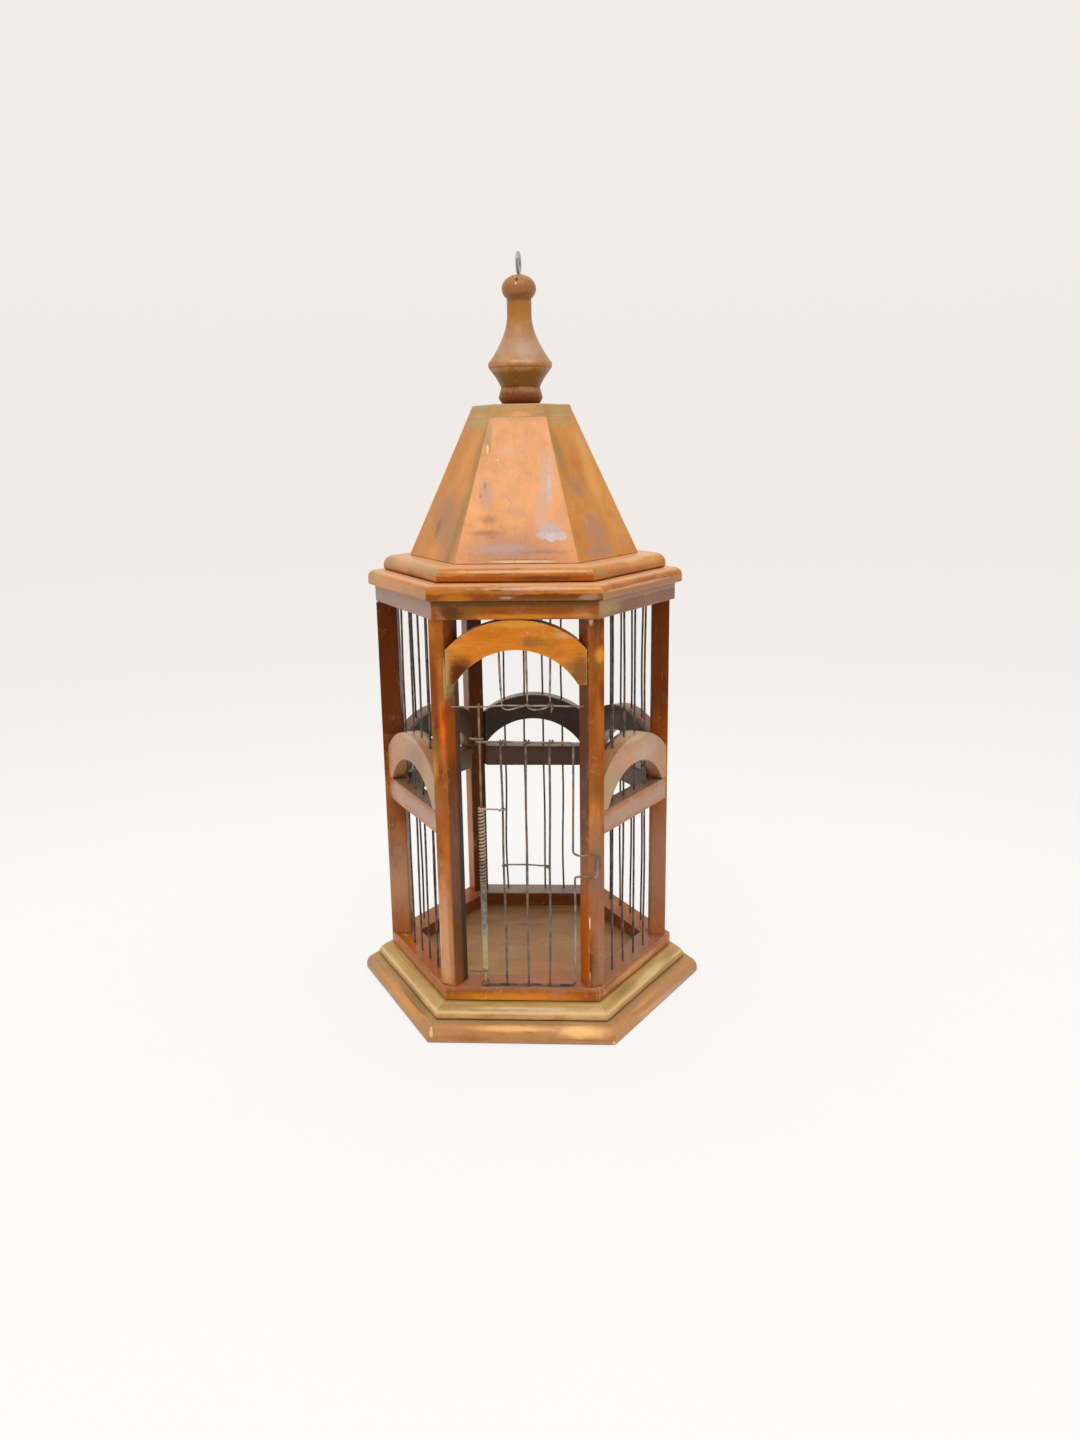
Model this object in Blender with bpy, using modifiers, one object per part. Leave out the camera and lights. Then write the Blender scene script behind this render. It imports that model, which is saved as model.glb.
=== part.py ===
"""Hexagonal wooden birdcage with a sprung wire door, modelled at rest with the door shut.

Metres, +Z up. The origin is the centre of the underside of the base, and the door faces -Y.
The six corners stand at 0, 60, ... 300 degrees round the axis, the six flat sides between them.
"""

import math

import bmesh
import bpy
from mathutils import Matrix, Vector

# Fits and cuts shared by the whole cage
GLUE_LINE = 0.0003
CUT_OVERRUN = 0.002
MERGE_DISTANCE = 0.000003
BORE_FACETS = 8
WIRE_FACETS = 12
ROUND_FACETS = 6
EASE_FACETS = 3
NOSE_FACETS = 8

# Hexagonal frame of sill and frieze that the posts stand between
FRAME_SIDE = 0.1167
SILL_HEIGHT = 0.0108
SILL_WIDTH = 0.0210
FRIEZE_HEIGHT = 0.0132
FRIEZE_WIDTH = 0.0210
FRAME_EASE = 0.0010

# Base slab, a hexagonal board with a rounded top edge
SLAB_LONGER_THAN_FRAME = 0.0233
SLAB_HEIGHT = 0.0140
SLAB_ROUND = 0.0098
SLAB_FOOT_EASE = 0.0008

# Base moulding, a hexagonal board with a shallow ovolo edge; its top is the cage floor
MOULDING_LONGER_THAN_FRAME = 0.0118
MOULDING_HEIGHT = 0.0102
MOULDING_RUN = 0.0100
MOULDING_BULGE = 0.0017

# Corner posts, square stock set with their outer face across the corner
POST_WIDTH = 0.0135
POST_DEPTH = 0.0135
POST_LENGTH = 0.2780
POST_EASE = 0.0007
POST_REVEAL = 0.0005

# Rails and arched boards between the posts
BOARD_THICKNESS = 0.0135
BOARD_REVEAL = 0.0012
RAIL_HEIGHT = 0.0175
RAIL_TOP_ABOVE_SILL = 0.1368
ARCH_INSET = 0.01485
ARCH_RISE = 0.0250
ARCH_BAND = 0.0212
ARCH_SHOULDER = 0.0143
ARCH_INNER_FACETS = 18
ARCH_OUTER_FACETS = 20

# Upright bars, straight wires let into the sill and the frieze
BAR_DIAMETER = 0.0018
BARS_PER_SIDE = 4
BAR_PITCH_SHARE = 0.1457
BAR_SEAT_DEPTH = 0.0065

# Two cornice boards
LOWER_CORNICE_LONGER_THAN_FRAME = 0.0052
LOWER_CORNICE_HEIGHT = 0.0112
LOWER_CORNICE_ROUND = 0.0055
LOWER_CORNICE_EASE = 0.0006
UPPER_CORNICE_SHORTER_THAN_FRAME = 0.0075
UPPER_CORNICE_HEIGHT = 0.0108

# Roof of six mitred panels round a hexagonal cap block
ROOF_SHORTER_THAN_CORNICE = 0.0211
ROOF_TOP_SIDE = 0.0364
ROOF_HEIGHT = 0.1098
ROOF_PANEL_THICKNESS = 0.0060
CAP_HEIGHT = 0.0088
CAP_PLUG_DEPTH = 0.0120

# Turned finial, given by the heights and radii of its outline
FINIAL_FOOT_RADIUS = 0.0130
FINIAL_FLANGE_RADIUS = 0.0161
FINIAL_FLANGE_HEIGHT = 0.0056
FINIAL_WAIST_RADIUS = 0.0136
FINIAL_WAIST_HEIGHT = 0.0127
FINIAL_BELLY_RADIUS = 0.0237
FINIAL_BELLY_HEIGHT = 0.0284
FINIAL_BELLY_ROUND = 0.0030
FINIAL_NECK_RADIUS = 0.0090
FINIAL_NECK_LOW = 0.0630
FINIAL_NECK_HIGH = 0.0745
FINIAL_BALL_RADIUS = 0.0126
FINIAL_BALL_HALF_HEIGHT = 0.0099
FINIAL_FLARE_POWER = 1.75
FINIAL_FLARE_FACETS = 7
FINIAL_BALL_FACETS = 9
FINIAL_STEPS = 28
TENON_RADIUS = 0.0060
TENON_LENGTH = 0.0080

# Screw eye in the ball of the finial
EYE_WIRE_DIAMETER = 0.0028
EYE_RING_RADIUS = 0.0068
EYE_RING_SINK = 0.0005
EYE_SHANK_DEPTH = 0.0140
EYE_BEND_DEPTH = 0.0008
EYE_PIT_RADIUS = 0.0036
EYE_PIT_DEPTH = 0.0022
EYE_RING_FACETS = 24
EYE_RING_START_DEGREES = -60.0
EYE_RING_END_DEGREES = 248.0
EYE_TURN_DEGREES = -4.0

# Door of bent wire, hung on an upright rod inside the left-hand post
HINGE_FROM_POST = 0.0204
HINGE_BEHIND_FACE = 0.0046
ROD_DIAMETER = 0.0018
ROD_SEAT_DEPTH = 0.0065
LOOP_CLEARANCE = 0.00035
LOOP_FACETS = 12
LOOP_START_DEGREES = 45.0
LOOP_END_DEGREES = 270.0
DOOR_WIRE_DIAMETER = 0.0020
DOOR_FROM_POST = 0.0092
DOOR_BOTTOM_CLEARANCE = 0.0006
DOOR_TOP_BELOW_HEADER = 0.0255
DOOR_CORNER_RADIUS = 0.0035
DOOR_CORNER_FACETS = 4
DOOR_LOOP_RISE = 0.0012

# Finger tab of the door, which rests on the outside of the right-hand post
TAB_TOP_SHARE = 0.559
TAB_HEIGHT = 0.0170
TAB_REACH = 0.0170
TAB_CRANK_SHARE = 1.0 / 3.0
TAB_CLEARANCE = 0.0007
TAB_CORNER_RADIUS = 0.0030

# Uprights and cross tie of the door
DOOR_BAR_DIAMETER = 0.0018
DOOR_BAR_X_SHARES = (0.235, 0.490, 0.705)
TIE_DIAMETER = 0.0014
TIE_HEIGHT_SHARE = 0.504
TIE_WRAP_DEGREES = 252.0

# Stretched wire that holds the head of the hinge rod
HEADER_DIAMETER = 0.0013
HEADER_BELOW_ARCH = 0.0161
HEADER_SEAT_DEPTH = 0.0040

# Short bars over the door, wound on the header wire and let into the frieze
SHORT_BAR_X_SHARES = (-0.101, 0.062, 0.204)
SHORT_BAR_BELOW_HEADER = 0.0016

# Torsion spring round the hinge rod
SPRING_WIRE_DIAMETER = 0.0017
SPRING_CLEARANCE = 0.0004
SPRING_PITCH = 0.00268
SPRING_HEIGHT_SHARE = 0.68
SPRING_POINTS_PER_TURN = 8
SPRING_FOOT_ABOVE_SILL = 0.0115
SPRING_HOOK_TURN_DEGREES = 250.0

# Ratios of the regular hexagon
SIDES = 6
SECTOR = 2.0 * math.pi / SIDES
FLAT_SHARE = math.cos(SECTOR / 2.0)
SLOPE_SHARE = math.tan(SECTOR / 2.0)

# Heights worked out from the sizes above
SLAB_TOP = SLAB_HEIGHT
MOULDING_FOOT = SLAB_TOP + GLUE_LINE
FLOOR_TOP = MOULDING_FOOT + MOULDING_HEIGHT
SILL_FOOT = FLOOR_TOP + GLUE_LINE
SILL_TOP = SILL_FOOT + SILL_HEIGHT
POST_FOOT = SILL_TOP + GLUE_LINE
POST_TOP = POST_FOOT + POST_LENGTH
FRIEZE_FOOT = POST_TOP + GLUE_LINE
FRIEZE_TOP = FRIEZE_FOOT + FRIEZE_HEIGHT
LOWER_CORNICE_FOOT = FRIEZE_TOP + GLUE_LINE
LOWER_CORNICE_TOP = LOWER_CORNICE_FOOT + LOWER_CORNICE_HEIGHT
UPPER_CORNICE_FOOT = LOWER_CORNICE_TOP + GLUE_LINE
UPPER_CORNICE_TOP = UPPER_CORNICE_FOOT + UPPER_CORNICE_HEIGHT
ROOF_FOOT = UPPER_CORNICE_TOP + GLUE_LINE
ROOF_TOP = ROOF_FOOT + ROOF_HEIGHT
CAP_FOOT = ROOF_TOP - CAP_HEIGHT
FINIAL_FOOT = ROOF_TOP + GLUE_LINE
BALL_CENTRE = FINIAL_FOOT + FINIAL_NECK_HIGH + FINIAL_BALL_HALF_HEIGHT * math.sqrt(
    1.0 - (FINIAL_NECK_RADIUS / FINIAL_BALL_RADIUS) ** 2
)
BALL_TOP = BALL_CENTRE + FINIAL_BALL_HALF_HEIGHT
RAIL_TOP = SILL_TOP + RAIL_TOP_ABOVE_SILL
RAIL_FOOT = RAIL_TOP - RAIL_HEIGHT
SIDE_ARCH_FOOT = RAIL_TOP + GLUE_LINE
DOOR_ARCH_FOOT = FRIEZE_FOOT - GLUE_LINE - ARCH_RISE - ARCH_BAND
HEADER_LEVEL = DOOR_ARCH_FOOT - HEADER_BELOW_ARCH
DOOR_TOP = HEADER_LEVEL - DOOR_TOP_BELOW_HEADER
DOOR_HEIGHT = DOOR_TOP - SILL_TOP
SPRING_TURNS = int(DOOR_HEIGHT * SPRING_HEIGHT_SHARE / SPRING_PITCH)

# Sides of the hexagonal boards worked out from the side of the frame
SLAB_SIDE = FRAME_SIDE + SLAB_LONGER_THAN_FRAME
MOULDING_SIDE = FRAME_SIDE + MOULDING_LONGER_THAN_FRAME
LOWER_CORNICE_SIDE = FRAME_SIDE + LOWER_CORNICE_LONGER_THAN_FRAME
UPPER_CORNICE_SIDE = FRAME_SIDE - UPPER_CORNICE_SHORTER_THAN_FRAME
ROOF_FOOT_SIDE = UPPER_CORNICE_SIDE - ROOF_SHORTER_THAN_CORNICE

# Places worked out from the sizes above
FRAME_FLAT = FRAME_SIDE * FLAT_SHARE
BOARD_OUTER = FRAME_FLAT - BOARD_REVEAL
BOARD_INNER = BOARD_OUTER - BOARD_THICKNESS
BAR_LINE = (BOARD_OUTER + BOARD_INNER) / 2.0
POST_FACE = FRAME_SIDE - POST_WIDTH / 2.0 * SLOPE_SHARE - POST_REVEAL
BAR_RADIUS = BAR_DIAMETER / 2.0
ROD_RADIUS = ROD_DIAMETER / 2.0
DOOR_WIRE_RADIUS = DOOR_WIRE_DIAMETER / 2.0
DOOR_BAR_RADIUS = DOOR_BAR_DIAMETER / 2.0
TIE_RADIUS = TIE_DIAMETER / 2.0
HEADER_RADIUS = HEADER_DIAMETER / 2.0
SPRING_WIRE_RADIUS = SPRING_WIRE_DIAMETER / 2.0


def post_side_face(y):
    """Distance of the inner side faces of the two front posts from the middle plane, at a depth y."""
    return (-y * math.sin(SECTOR / 2.0) - POST_WIDTH / 2.0) / math.cos(SECTOR / 2.0)


HINGE_LINE = HINGE_BEHIND_FACE - FRAME_FLAT
HINGE = Vector((HINGE_FROM_POST - post_side_face(HINGE_LINE), HINGE_LINE, 0.0))
DOOR_LOOP_RADIUS = ROD_RADIUS + LOOP_CLEARANCE + DOOR_WIRE_RADIUS
DOOR_WIDTH = post_side_face(HINGE_LINE - DOOR_LOOP_RADIUS) - DOOR_FROM_POST - HINGE.x
DOOR_BAR_PLACES = [DOOR_WIDTH * share for share in DOOR_BAR_X_SHARES]

WOOD = (0.42, 0.17, 0.06)
TAN_WOOD = (0.42, 0.28, 0.12)
PALE_WOOD = (0.50, 0.22, 0.08)
BAR_METAL = (0.20, 0.18, 0.16)
RUSTY_METAL = (0.34, 0.27, 0.21)
SPRING_METAL = (0.46, 0.39, 0.27)
EYE_METAL = (0.46, 0.45, 0.43)


def clear_scene():
    for old in list(bpy.data.objects):
        bpy.data.objects.remove(old, do_unlink=True)
    for old in list(bpy.data.collections):
        bpy.data.collections.remove(old)


def new_collection(name):
    made = bpy.data.collections.new(name)
    bpy.context.scene.collection.children.link(made)
    return made


def new_material(name, colour, roughness, metallic):
    made = bpy.data.materials.new(name)
    made.use_nodes = True
    shader = made.node_tree.nodes["Principled BSDF"]
    shader.inputs["Base Color"].default_value = (*colour, 1.0)
    shader.inputs["Roughness"].default_value = roughness
    shader.inputs["Metallic"].default_value = metallic
    made.diffuse_color = (*colour, 1.0)
    return made


def add_piece(name, data, material, parent=None):
    piece = bpy.data.objects.new(name, data)
    data.materials.append(material)
    parts.objects.link(piece)
    piece.parent = parent
    return piece


def add_cutter(name, data):
    cutter = bpy.data.objects.new(name, data)
    cutters.objects.link(cutter)
    cutter.hide_render = True
    cutter.display_type = "WIRE"
    return cutter


def add_boolean(piece, tool, operation="DIFFERENCE"):
    step = piece.modifiers.new(f"{operation.lower()}_{tool.name}", "BOOLEAN")
    step.operation = operation
    step.solver = "EXACT"
    step.object = tool


def add_bevel(piece, width, segments=1):
    ease = piece.modifiers.new("eased_edges", "BEVEL")
    ease.width = width
    ease.segments = segments
    ease.limit_method = "ANGLE"


def mesh_from(bm, name):
    mesh = bpy.data.meshes.new(name)
    bm.to_mesh(mesh)
    bm.free()
    return mesh


def arc_points(centre, across, along, radius, start, end, facets):
    """Points of an arc round centre, in the plane of the unit vectors across and along, angles in radians."""
    points = []
    for i in range(facets + 1):
        angle = start + (end - start) * i / facets
        points.append(centre + radius * (math.cos(angle) * across + math.sin(angle) * along))
    return points


def rounded_corner(before, corner, after, radius, facets):
    """Points of the round bend of a wire at corner, between the runs from before and to after."""
    inward = (before - corner).normalized()
    onward = (after - corner).normalized()
    half = inward.angle(onward) / 2.0
    reach = radius / math.tan(half)
    centre = corner + (inward + onward).normalized() * radius / math.sin(half)
    first = corner + inward * reach - centre
    last = corner + onward * reach - centre
    sweep = first.angle(last)
    points = []
    for i in range(facets + 1):
        share = i / facets
        weight_first = math.sin((1.0 - share) * sweep) / math.sin(sweep)
        weight_last = math.sin(share * sweep) / math.sin(sweep)
        points.append(centre + first * weight_first + last * weight_last)
    return points


def wire_curve(name, points, radius, resolution=2):
    """A wire of round section along the points, with closed ends."""
    curve = bpy.data.curves.new(name, "CURVE")
    curve.dimensions = "3D"
    curve.bevel_depth = radius
    curve.bevel_resolution = resolution
    curve.use_fill_caps = True
    spline = curve.splines.new("POLY")
    spline.points.add(len(points) - 1)
    for spot, point in zip(spline.points, points):
        spot.co = (*point, 1.0)
    return curve


def turned_mesh(name, profile, closed=False):
    """The edge line of an outline at +X, given as (radius, height) from top to bottom of its outer side."""
    bm = bmesh.new()
    spots = [bm.verts.new((radius, 0.0, height)) for radius, height in profile]
    for first, last in zip(spots, spots[1:]):
        bm.edges.new((first, last))
    if closed:
        bm.edges.new((spots[-1], spots[0]))
    return mesh_from(bm, name)


def add_screw(piece, steps, smooth):
    turn = piece.modifiers.new("turned", "SCREW")
    turn.axis = "Z"
    turn.steps = steps
    turn.render_steps = steps
    turn.use_merge_vertices = True
    turn.merge_threshold = MERGE_DISTANCE
    turn.use_smooth_shade = smooth
    return turn


def add_hexagonal(name, flat_profile, material, closed=False):
    """A hexagonal piece from its section across the flats, as (distance to the flat, height)."""
    profile = [(flat / FLAT_SHARE, height) for flat, height in flat_profile]
    piece = add_piece(name, turned_mesh(name, profile, closed), material)
    add_screw(piece, SIDES, False)
    return piece


def quarter_round(centre_flat, centre_height, radius, start_degrees, end_degrees, facets):
    points = []
    for i in range(facets + 1):
        angle = math.radians(start_degrees + (end_degrees - start_degrees) * i / facets)
        points.append((centre_flat + radius * math.cos(angle), centre_height + radius * math.sin(angle)))
    return points


def bulged_run(start, end, bulge, facets):
    """Points from start to end that swell outwards by bulge at mid run."""
    run = Vector(end) - Vector(start)
    outward = Vector((-run.y, run.x)).normalized()
    points = []
    for i in range(facets + 1):
        share = i / facets
        spot = Vector(start) + run * share + outward * bulge * 4.0 * share * (1.0 - share)
        points.append((spot.x, spot.y))
    return points


def cylinder_mesh(name, ends_and_radii, facets):
    """Upright or lying cylinders in one mesh, each given as (foot, head, radius)."""
    bm = bmesh.new()
    for foot, head, radius in ends_and_radii:
        run = head - foot
        turn = Vector((0.0, 0.0, 1.0)).rotation_difference(run).to_matrix().to_4x4()
        place = Matrix.Translation((foot + head) / 2.0) @ turn
        bmesh.ops.create_cone(
            bm,
            cap_ends=True,
            segments=facets,
            radius1=radius,
            radius2=radius,
            depth=run.length,
            matrix=place,
        )
    return mesh_from(bm, name)


def trim(bm, point, normal):
    """Cuts the piece flat at a plane and takes away what lies on the side of its normal."""
    cut = bmesh.ops.bisect_plane(
        bm,
        geom=bm.verts[:] + bm.edges[:] + bm.faces[:],
        dist=MERGE_DISTANCE,
        plane_co=point,
        plane_no=normal,
        clear_outer=True,
    )
    rim = [item for item in cut["geom_cut"] if isinstance(item, bmesh.types.BMEdge)]
    bmesh.ops.holes_fill(bm, edges=rim, sides=0)


def trim_to_posts(bm):
    """Mitres both ends of a front board to the faces of the posts beside it."""
    for hand in (1.0, -1.0):
        normal = Vector((hand * math.cos(SECTOR / 2.0), math.sin(SECTOR / 2.0), 0.0))
        trim(bm, -normal * (POST_WIDTH / 2.0 + GLUE_LINE), normal)
    bmesh.ops.recalc_face_normals(bm, faces=bm.faces[:])


def side_angle(side):
    """Turn about Z that takes the front side to this one, counted anticlockwise from the front."""
    return side * SECTOR


def corner_angle(corner):
    """Direction of a corner, counted anticlockwise from the one at the right of the door."""
    return -SECTOR + corner * SECTOR


SIDE_NAMES = ("front", "front_right", "back_right", "back", "back_left", "front_left")
CORNER_NAMES = ("front_right", "right", "back_right", "back_left", "left", "front_left")


def make_base():
    """The slab that the cage stands on and the moulded board above it."""
    flat = SLAB_SIDE * FLAT_SHARE
    outline = [(0.0, SLAB_TOP)]
    outline += quarter_round(flat - SLAB_ROUND, SLAB_TOP - SLAB_ROUND, SLAB_ROUND, 90.0, 0.0, ROUND_FACETS)
    outline += [(flat, SLAB_FOOT_EASE), (flat - SLAB_FOOT_EASE, 0.0), (0.0, 0.0)]
    add_hexagonal("base_slab", outline, wood_pale)

    flat = MOULDING_SIDE * FLAT_SHARE
    outline = [(0.0, FLOOR_TOP)]
    outline += bulged_run(
        (flat - MOULDING_RUN, FLOOR_TOP), (flat, MOULDING_FOOT), MOULDING_BULGE, ROUND_FACETS
    )
    outline += [(0.0, MOULDING_FOOT)]
    add_hexagonal("base_moulding", outline, wood_tan)


def eased_frame_section(outer, width, foot, top, ease):
    """Section of a hexagonal frame whose outer edges are eased, run down the outer side."""
    section = [(outer - width, top)]
    section += quarter_round(outer - ease, top - ease, ease, 90.0, 0.0, EASE_FACETS)
    section += quarter_round(outer - ease, foot + ease, ease, 0.0, -90.0, EASE_FACETS)
    section += [(outer - width, foot)]
    return section


def make_frames():
    """The sill frame on the floor and the frieze frame at the head of the posts."""
    section = eased_frame_section(FRAME_FLAT, SILL_WIDTH, SILL_FOOT, SILL_TOP, FRAME_EASE)
    sill = add_hexagonal("sill_frame", section, wood, closed=True)
    add_boolean(sill, bar_bores)
    add_boolean(sill, rod_bore)
    section = eased_frame_section(FRAME_FLAT, FRIEZE_WIDTH, FRIEZE_FOOT, FRIEZE_TOP, FRAME_EASE)
    frieze = add_hexagonal("frieze_frame", section, wood, closed=True)
    add_boolean(frieze, bar_bores)


def make_posts():
    for corner, corner_name in enumerate(CORNER_NAMES):
        bm = bmesh.new()
        bmesh.ops.create_cube(bm, size=1.0)
        bmesh.ops.scale(bm, vec=(POST_DEPTH, POST_WIDTH, POST_LENGTH), verts=bm.verts[:])
        post = add_piece("post_" + corner_name, mesh_from(bm, "post_" + corner_name), wood)
        angle = corner_angle(corner)
        radius = POST_FACE - POST_DEPTH / 2.0
        middle = (POST_FOOT + POST_TOP) / 2.0
        post.location = (radius * math.cos(angle), radius * math.sin(angle), middle)
        post.rotation_euler.z = angle
        add_bevel(post, POST_EASE)
        if corner_name.startswith("front"):
            add_boolean(post, header_bore)


def crowned_arc(half_chord, rise, crown, facets):
    """Points from left to right of an arc that rises to the crown from a chord of the given half length."""
    radius = (half_chord**2 + rise**2) / (2.0 * rise)
    sweep = math.atan2(half_chord, radius - rise)
    centre = Vector((0.0, crown - radius, 0.0))
    across = Vector((1.0, 0.0, 0.0))
    along = Vector((0.0, 1.0, 0.0))
    return arc_points(centre, across, along, radius, math.pi / 2.0 + sweep, math.pi / 2.0 - sweep, facets)


def arch_outline():
    """Outline of an arched board standing on Y = 0, its chord centred on X = 0."""
    half_width = FRAME_SIDE / 2.0
    crown = ARCH_RISE + ARCH_BAND
    inner = crowned_arc(half_width - ARCH_INSET, ARCH_RISE, ARCH_RISE, ARCH_INNER_FACETS)
    outer = crowned_arc(half_width, crown - ARCH_SHOULDER, crown, ARCH_OUTER_FACETS)
    outer.reverse()
    outline = [Vector((-half_width, 0.0, 0.0))]
    outline += inner
    outline += [Vector((half_width, 0.0, 0.0))]
    outline += outer
    return outline


def flat_board_mesh(name, outline, thickness):
    """A flat board from its outline, as a closed mesh in the plane of the outline."""
    curve = bpy.data.curves.new(name, "CURVE")
    curve.dimensions = "2D"
    curve.fill_mode = "BOTH"
    curve.extrude = thickness / 2.0
    spline = curve.splines.new("POLY")
    spline.points.add(len(outline) - 1)
    for spot, point in zip(spline.points, outline):
        spot.co = (*point, 1.0)
    spline.use_cyclic_u = True
    holder = bpy.data.objects.new(name, curve)
    parts.objects.link(holder)
    graph = bpy.context.evaluated_depsgraph_get()
    mesh = bpy.data.meshes.new_from_object(holder.evaluated_get(graph))
    bpy.data.objects.remove(holder, do_unlink=True)
    bpy.data.curves.remove(curve)
    return mesh


def arch_mesh(name, foot):
    """An arched board of the front side, standing at the given height between its two posts."""
    flat = flat_board_mesh(name, arch_outline(), BOARD_THICKNESS)
    bm = bmesh.new()
    bm.from_mesh(flat)
    bmesh.ops.remove_doubles(bm, verts=bm.verts[:], dist=MERGE_DISTANCE)
    upright = Matrix.Translation((0.0, -BAR_LINE, foot)) @ Matrix.Rotation(math.pi / 2.0, 4, "X")
    bmesh.ops.transform(bm, matrix=upright, verts=bm.verts[:])
    trim_to_posts(bm)
    bpy.data.meshes.remove(flat)
    return mesh_from(bm, name)


def rail_mesh(name):
    """The straight rail of the front side, its ends mitred to the posts."""
    bm = bmesh.new()
    bmesh.ops.create_cube(bm, size=1.0)
    bmesh.ops.scale(bm, vec=(FRAME_SIDE, BOARD_THICKNESS, RAIL_HEIGHT), verts=bm.verts[:])
    bmesh.ops.translate(bm, vec=(0.0, -BAR_LINE, (RAIL_FOOT + RAIL_TOP) / 2.0), verts=bm.verts[:])
    trim_to_posts(bm)
    return mesh_from(bm, name)


def make_side_boards():
    """The arch over the door, and a rail with an arch on it in each of the other sides."""
    door_arch = add_piece("arch_front", arch_mesh("arch_front", DOOR_ARCH_FOOT), wood)
    add_boolean(door_arch, bar_bores)
    for side in range(1, SIDES):
        side_name = SIDE_NAMES[side]
        rail = add_piece("rail_" + side_name, rail_mesh("rail_" + side_name), wood)
        arch = add_piece("arch_" + side_name, arch_mesh("arch_" + side_name, SIDE_ARCH_FOOT), wood)
        for board in (rail, arch):
            board.rotation_euler.z = side_angle(side)
            add_boolean(board, bar_bores)


def bar_offsets():
    """Places of the bars along a side, from its middle."""
    pitch = FRAME_SIDE * BAR_PITCH_SHARE
    return [(i - (BARS_PER_SIDE - 1) / 2.0) * pitch for i in range(BARS_PER_SIDE)]


def bar_spots():
    """Place of every full-length bar by its name."""
    spots = {}
    for side in range(1, SIDES):
        turn = Matrix.Rotation(side_angle(side), 4, "Z")
        for number, offset in enumerate(bar_offsets(), start=1):
            spots[f"bar_{SIDE_NAMES[side]}_{number}"] = turn @ Vector((offset, -BAR_LINE, 0.0))
    return spots


def make_bars():
    foot = SILL_TOP - BAR_SEAT_DEPTH
    head = FRIEZE_FOOT + BAR_SEAT_DEPTH
    for name, spot in bar_spots().items():
        points = [Vector((0.0, 0.0, foot)), Vector((0.0, 0.0, head))]
        bar = add_piece(name, wire_curve(name, points, BAR_RADIUS), metal_bar)
        bar.location = spot


def make_bores():
    """Cutters for the bars, the hinge rod, the header wire and the tenon of the finial."""
    up = Vector((0.0, 0.0, 1.0))
    radius = BAR_RADIUS + GLUE_LINE
    foot = SILL_TOP - BAR_SEAT_DEPTH - GLUE_LINE
    head = FRIEZE_FOOT + BAR_SEAT_DEPTH + GLUE_LINE
    runs = [(spot + up * foot, spot + up * head, radius) for spot in bar_spots().values()]
    foot = DOOR_ARCH_FOOT - CUT_OVERRUN
    runs += [(spot + up * foot, spot + up * head, radius) for spot in short_bar_spots()]
    bars = add_cutter("bar_bores", cylinder_mesh("bar_bores", runs, BORE_FACETS))

    foot = HINGE + up * (SILL_TOP - ROD_SEAT_DEPTH - GLUE_LINE)
    head = HINGE + up * (SILL_TOP + CUT_OVERRUN)
    run = [(foot, head, ROD_RADIUS + GLUE_LINE)]
    rod = add_cutter("rod_bore", cylinder_mesh("rod_bore", run, BORE_FACETS))

    reach = header_half_length() + GLUE_LINE
    middle = header_middle()
    across = Vector((reach, 0.0, 0.0))
    run = [(middle - across, middle + across, HEADER_RADIUS + GLUE_LINE)]
    header = add_cutter("header_bore", cylinder_mesh("header_bore", run, BORE_FACETS))

    foot = up * (CAP_FOOT - CAP_PLUG_DEPTH - CUT_OVERRUN)
    head = up * (ROOF_TOP + CUT_OVERRUN)
    run = [(foot, head, TENON_RADIUS + GLUE_LINE)]
    tenon = add_cutter("tenon_bore", cylinder_mesh("tenon_bore", run, FINIAL_STEPS))
    return bars, rod, header, tenon


def make_cornice():
    """The two boards over the frieze, the lower rounded at its top edge and the upper bullnosed."""
    flat = LOWER_CORNICE_SIDE * FLAT_SHARE
    radius = LOWER_CORNICE_ROUND
    outline = [(0.0, LOWER_CORNICE_TOP)]
    outline += quarter_round(flat - radius, LOWER_CORNICE_TOP - radius, radius, 90.0, 0.0, ROUND_FACETS)
    outline += [
        (flat, LOWER_CORNICE_FOOT + LOWER_CORNICE_EASE),
        (flat - LOWER_CORNICE_EASE, LOWER_CORNICE_FOOT),
        (0.0, LOWER_CORNICE_FOOT),
    ]
    add_hexagonal("cornice_lower", outline, wood)

    flat = UPPER_CORNICE_SIDE * FLAT_SHARE
    nose = UPPER_CORNICE_HEIGHT / 2.0
    outline = [(0.0, UPPER_CORNICE_TOP)]
    outline += quarter_round(flat - nose, UPPER_CORNICE_FOOT + nose, nose, 90.0, -90.0, NOSE_FACETS)
    outline += [(0.0, UPPER_CORNICE_FOOT)]
    add_hexagonal("cornice_upper", outline, wood)


def roof_flat(height):
    """Distance from the axis to the outside of a roof panel at a height."""
    share = (height - ROOF_FOOT) / ROOF_HEIGHT
    side = ROOF_FOOT_SIDE + (ROOF_TOP_SIDE - ROOF_FOOT_SIDE) * share
    return side * FLAT_SHARE


def roof_normal():
    """Outward direction of the front roof panel."""
    lean = (roof_flat(ROOF_FOOT) - roof_flat(ROOF_TOP)) / ROOF_HEIGHT
    return Vector((0.0, -1.0, lean)).normalized()


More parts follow.
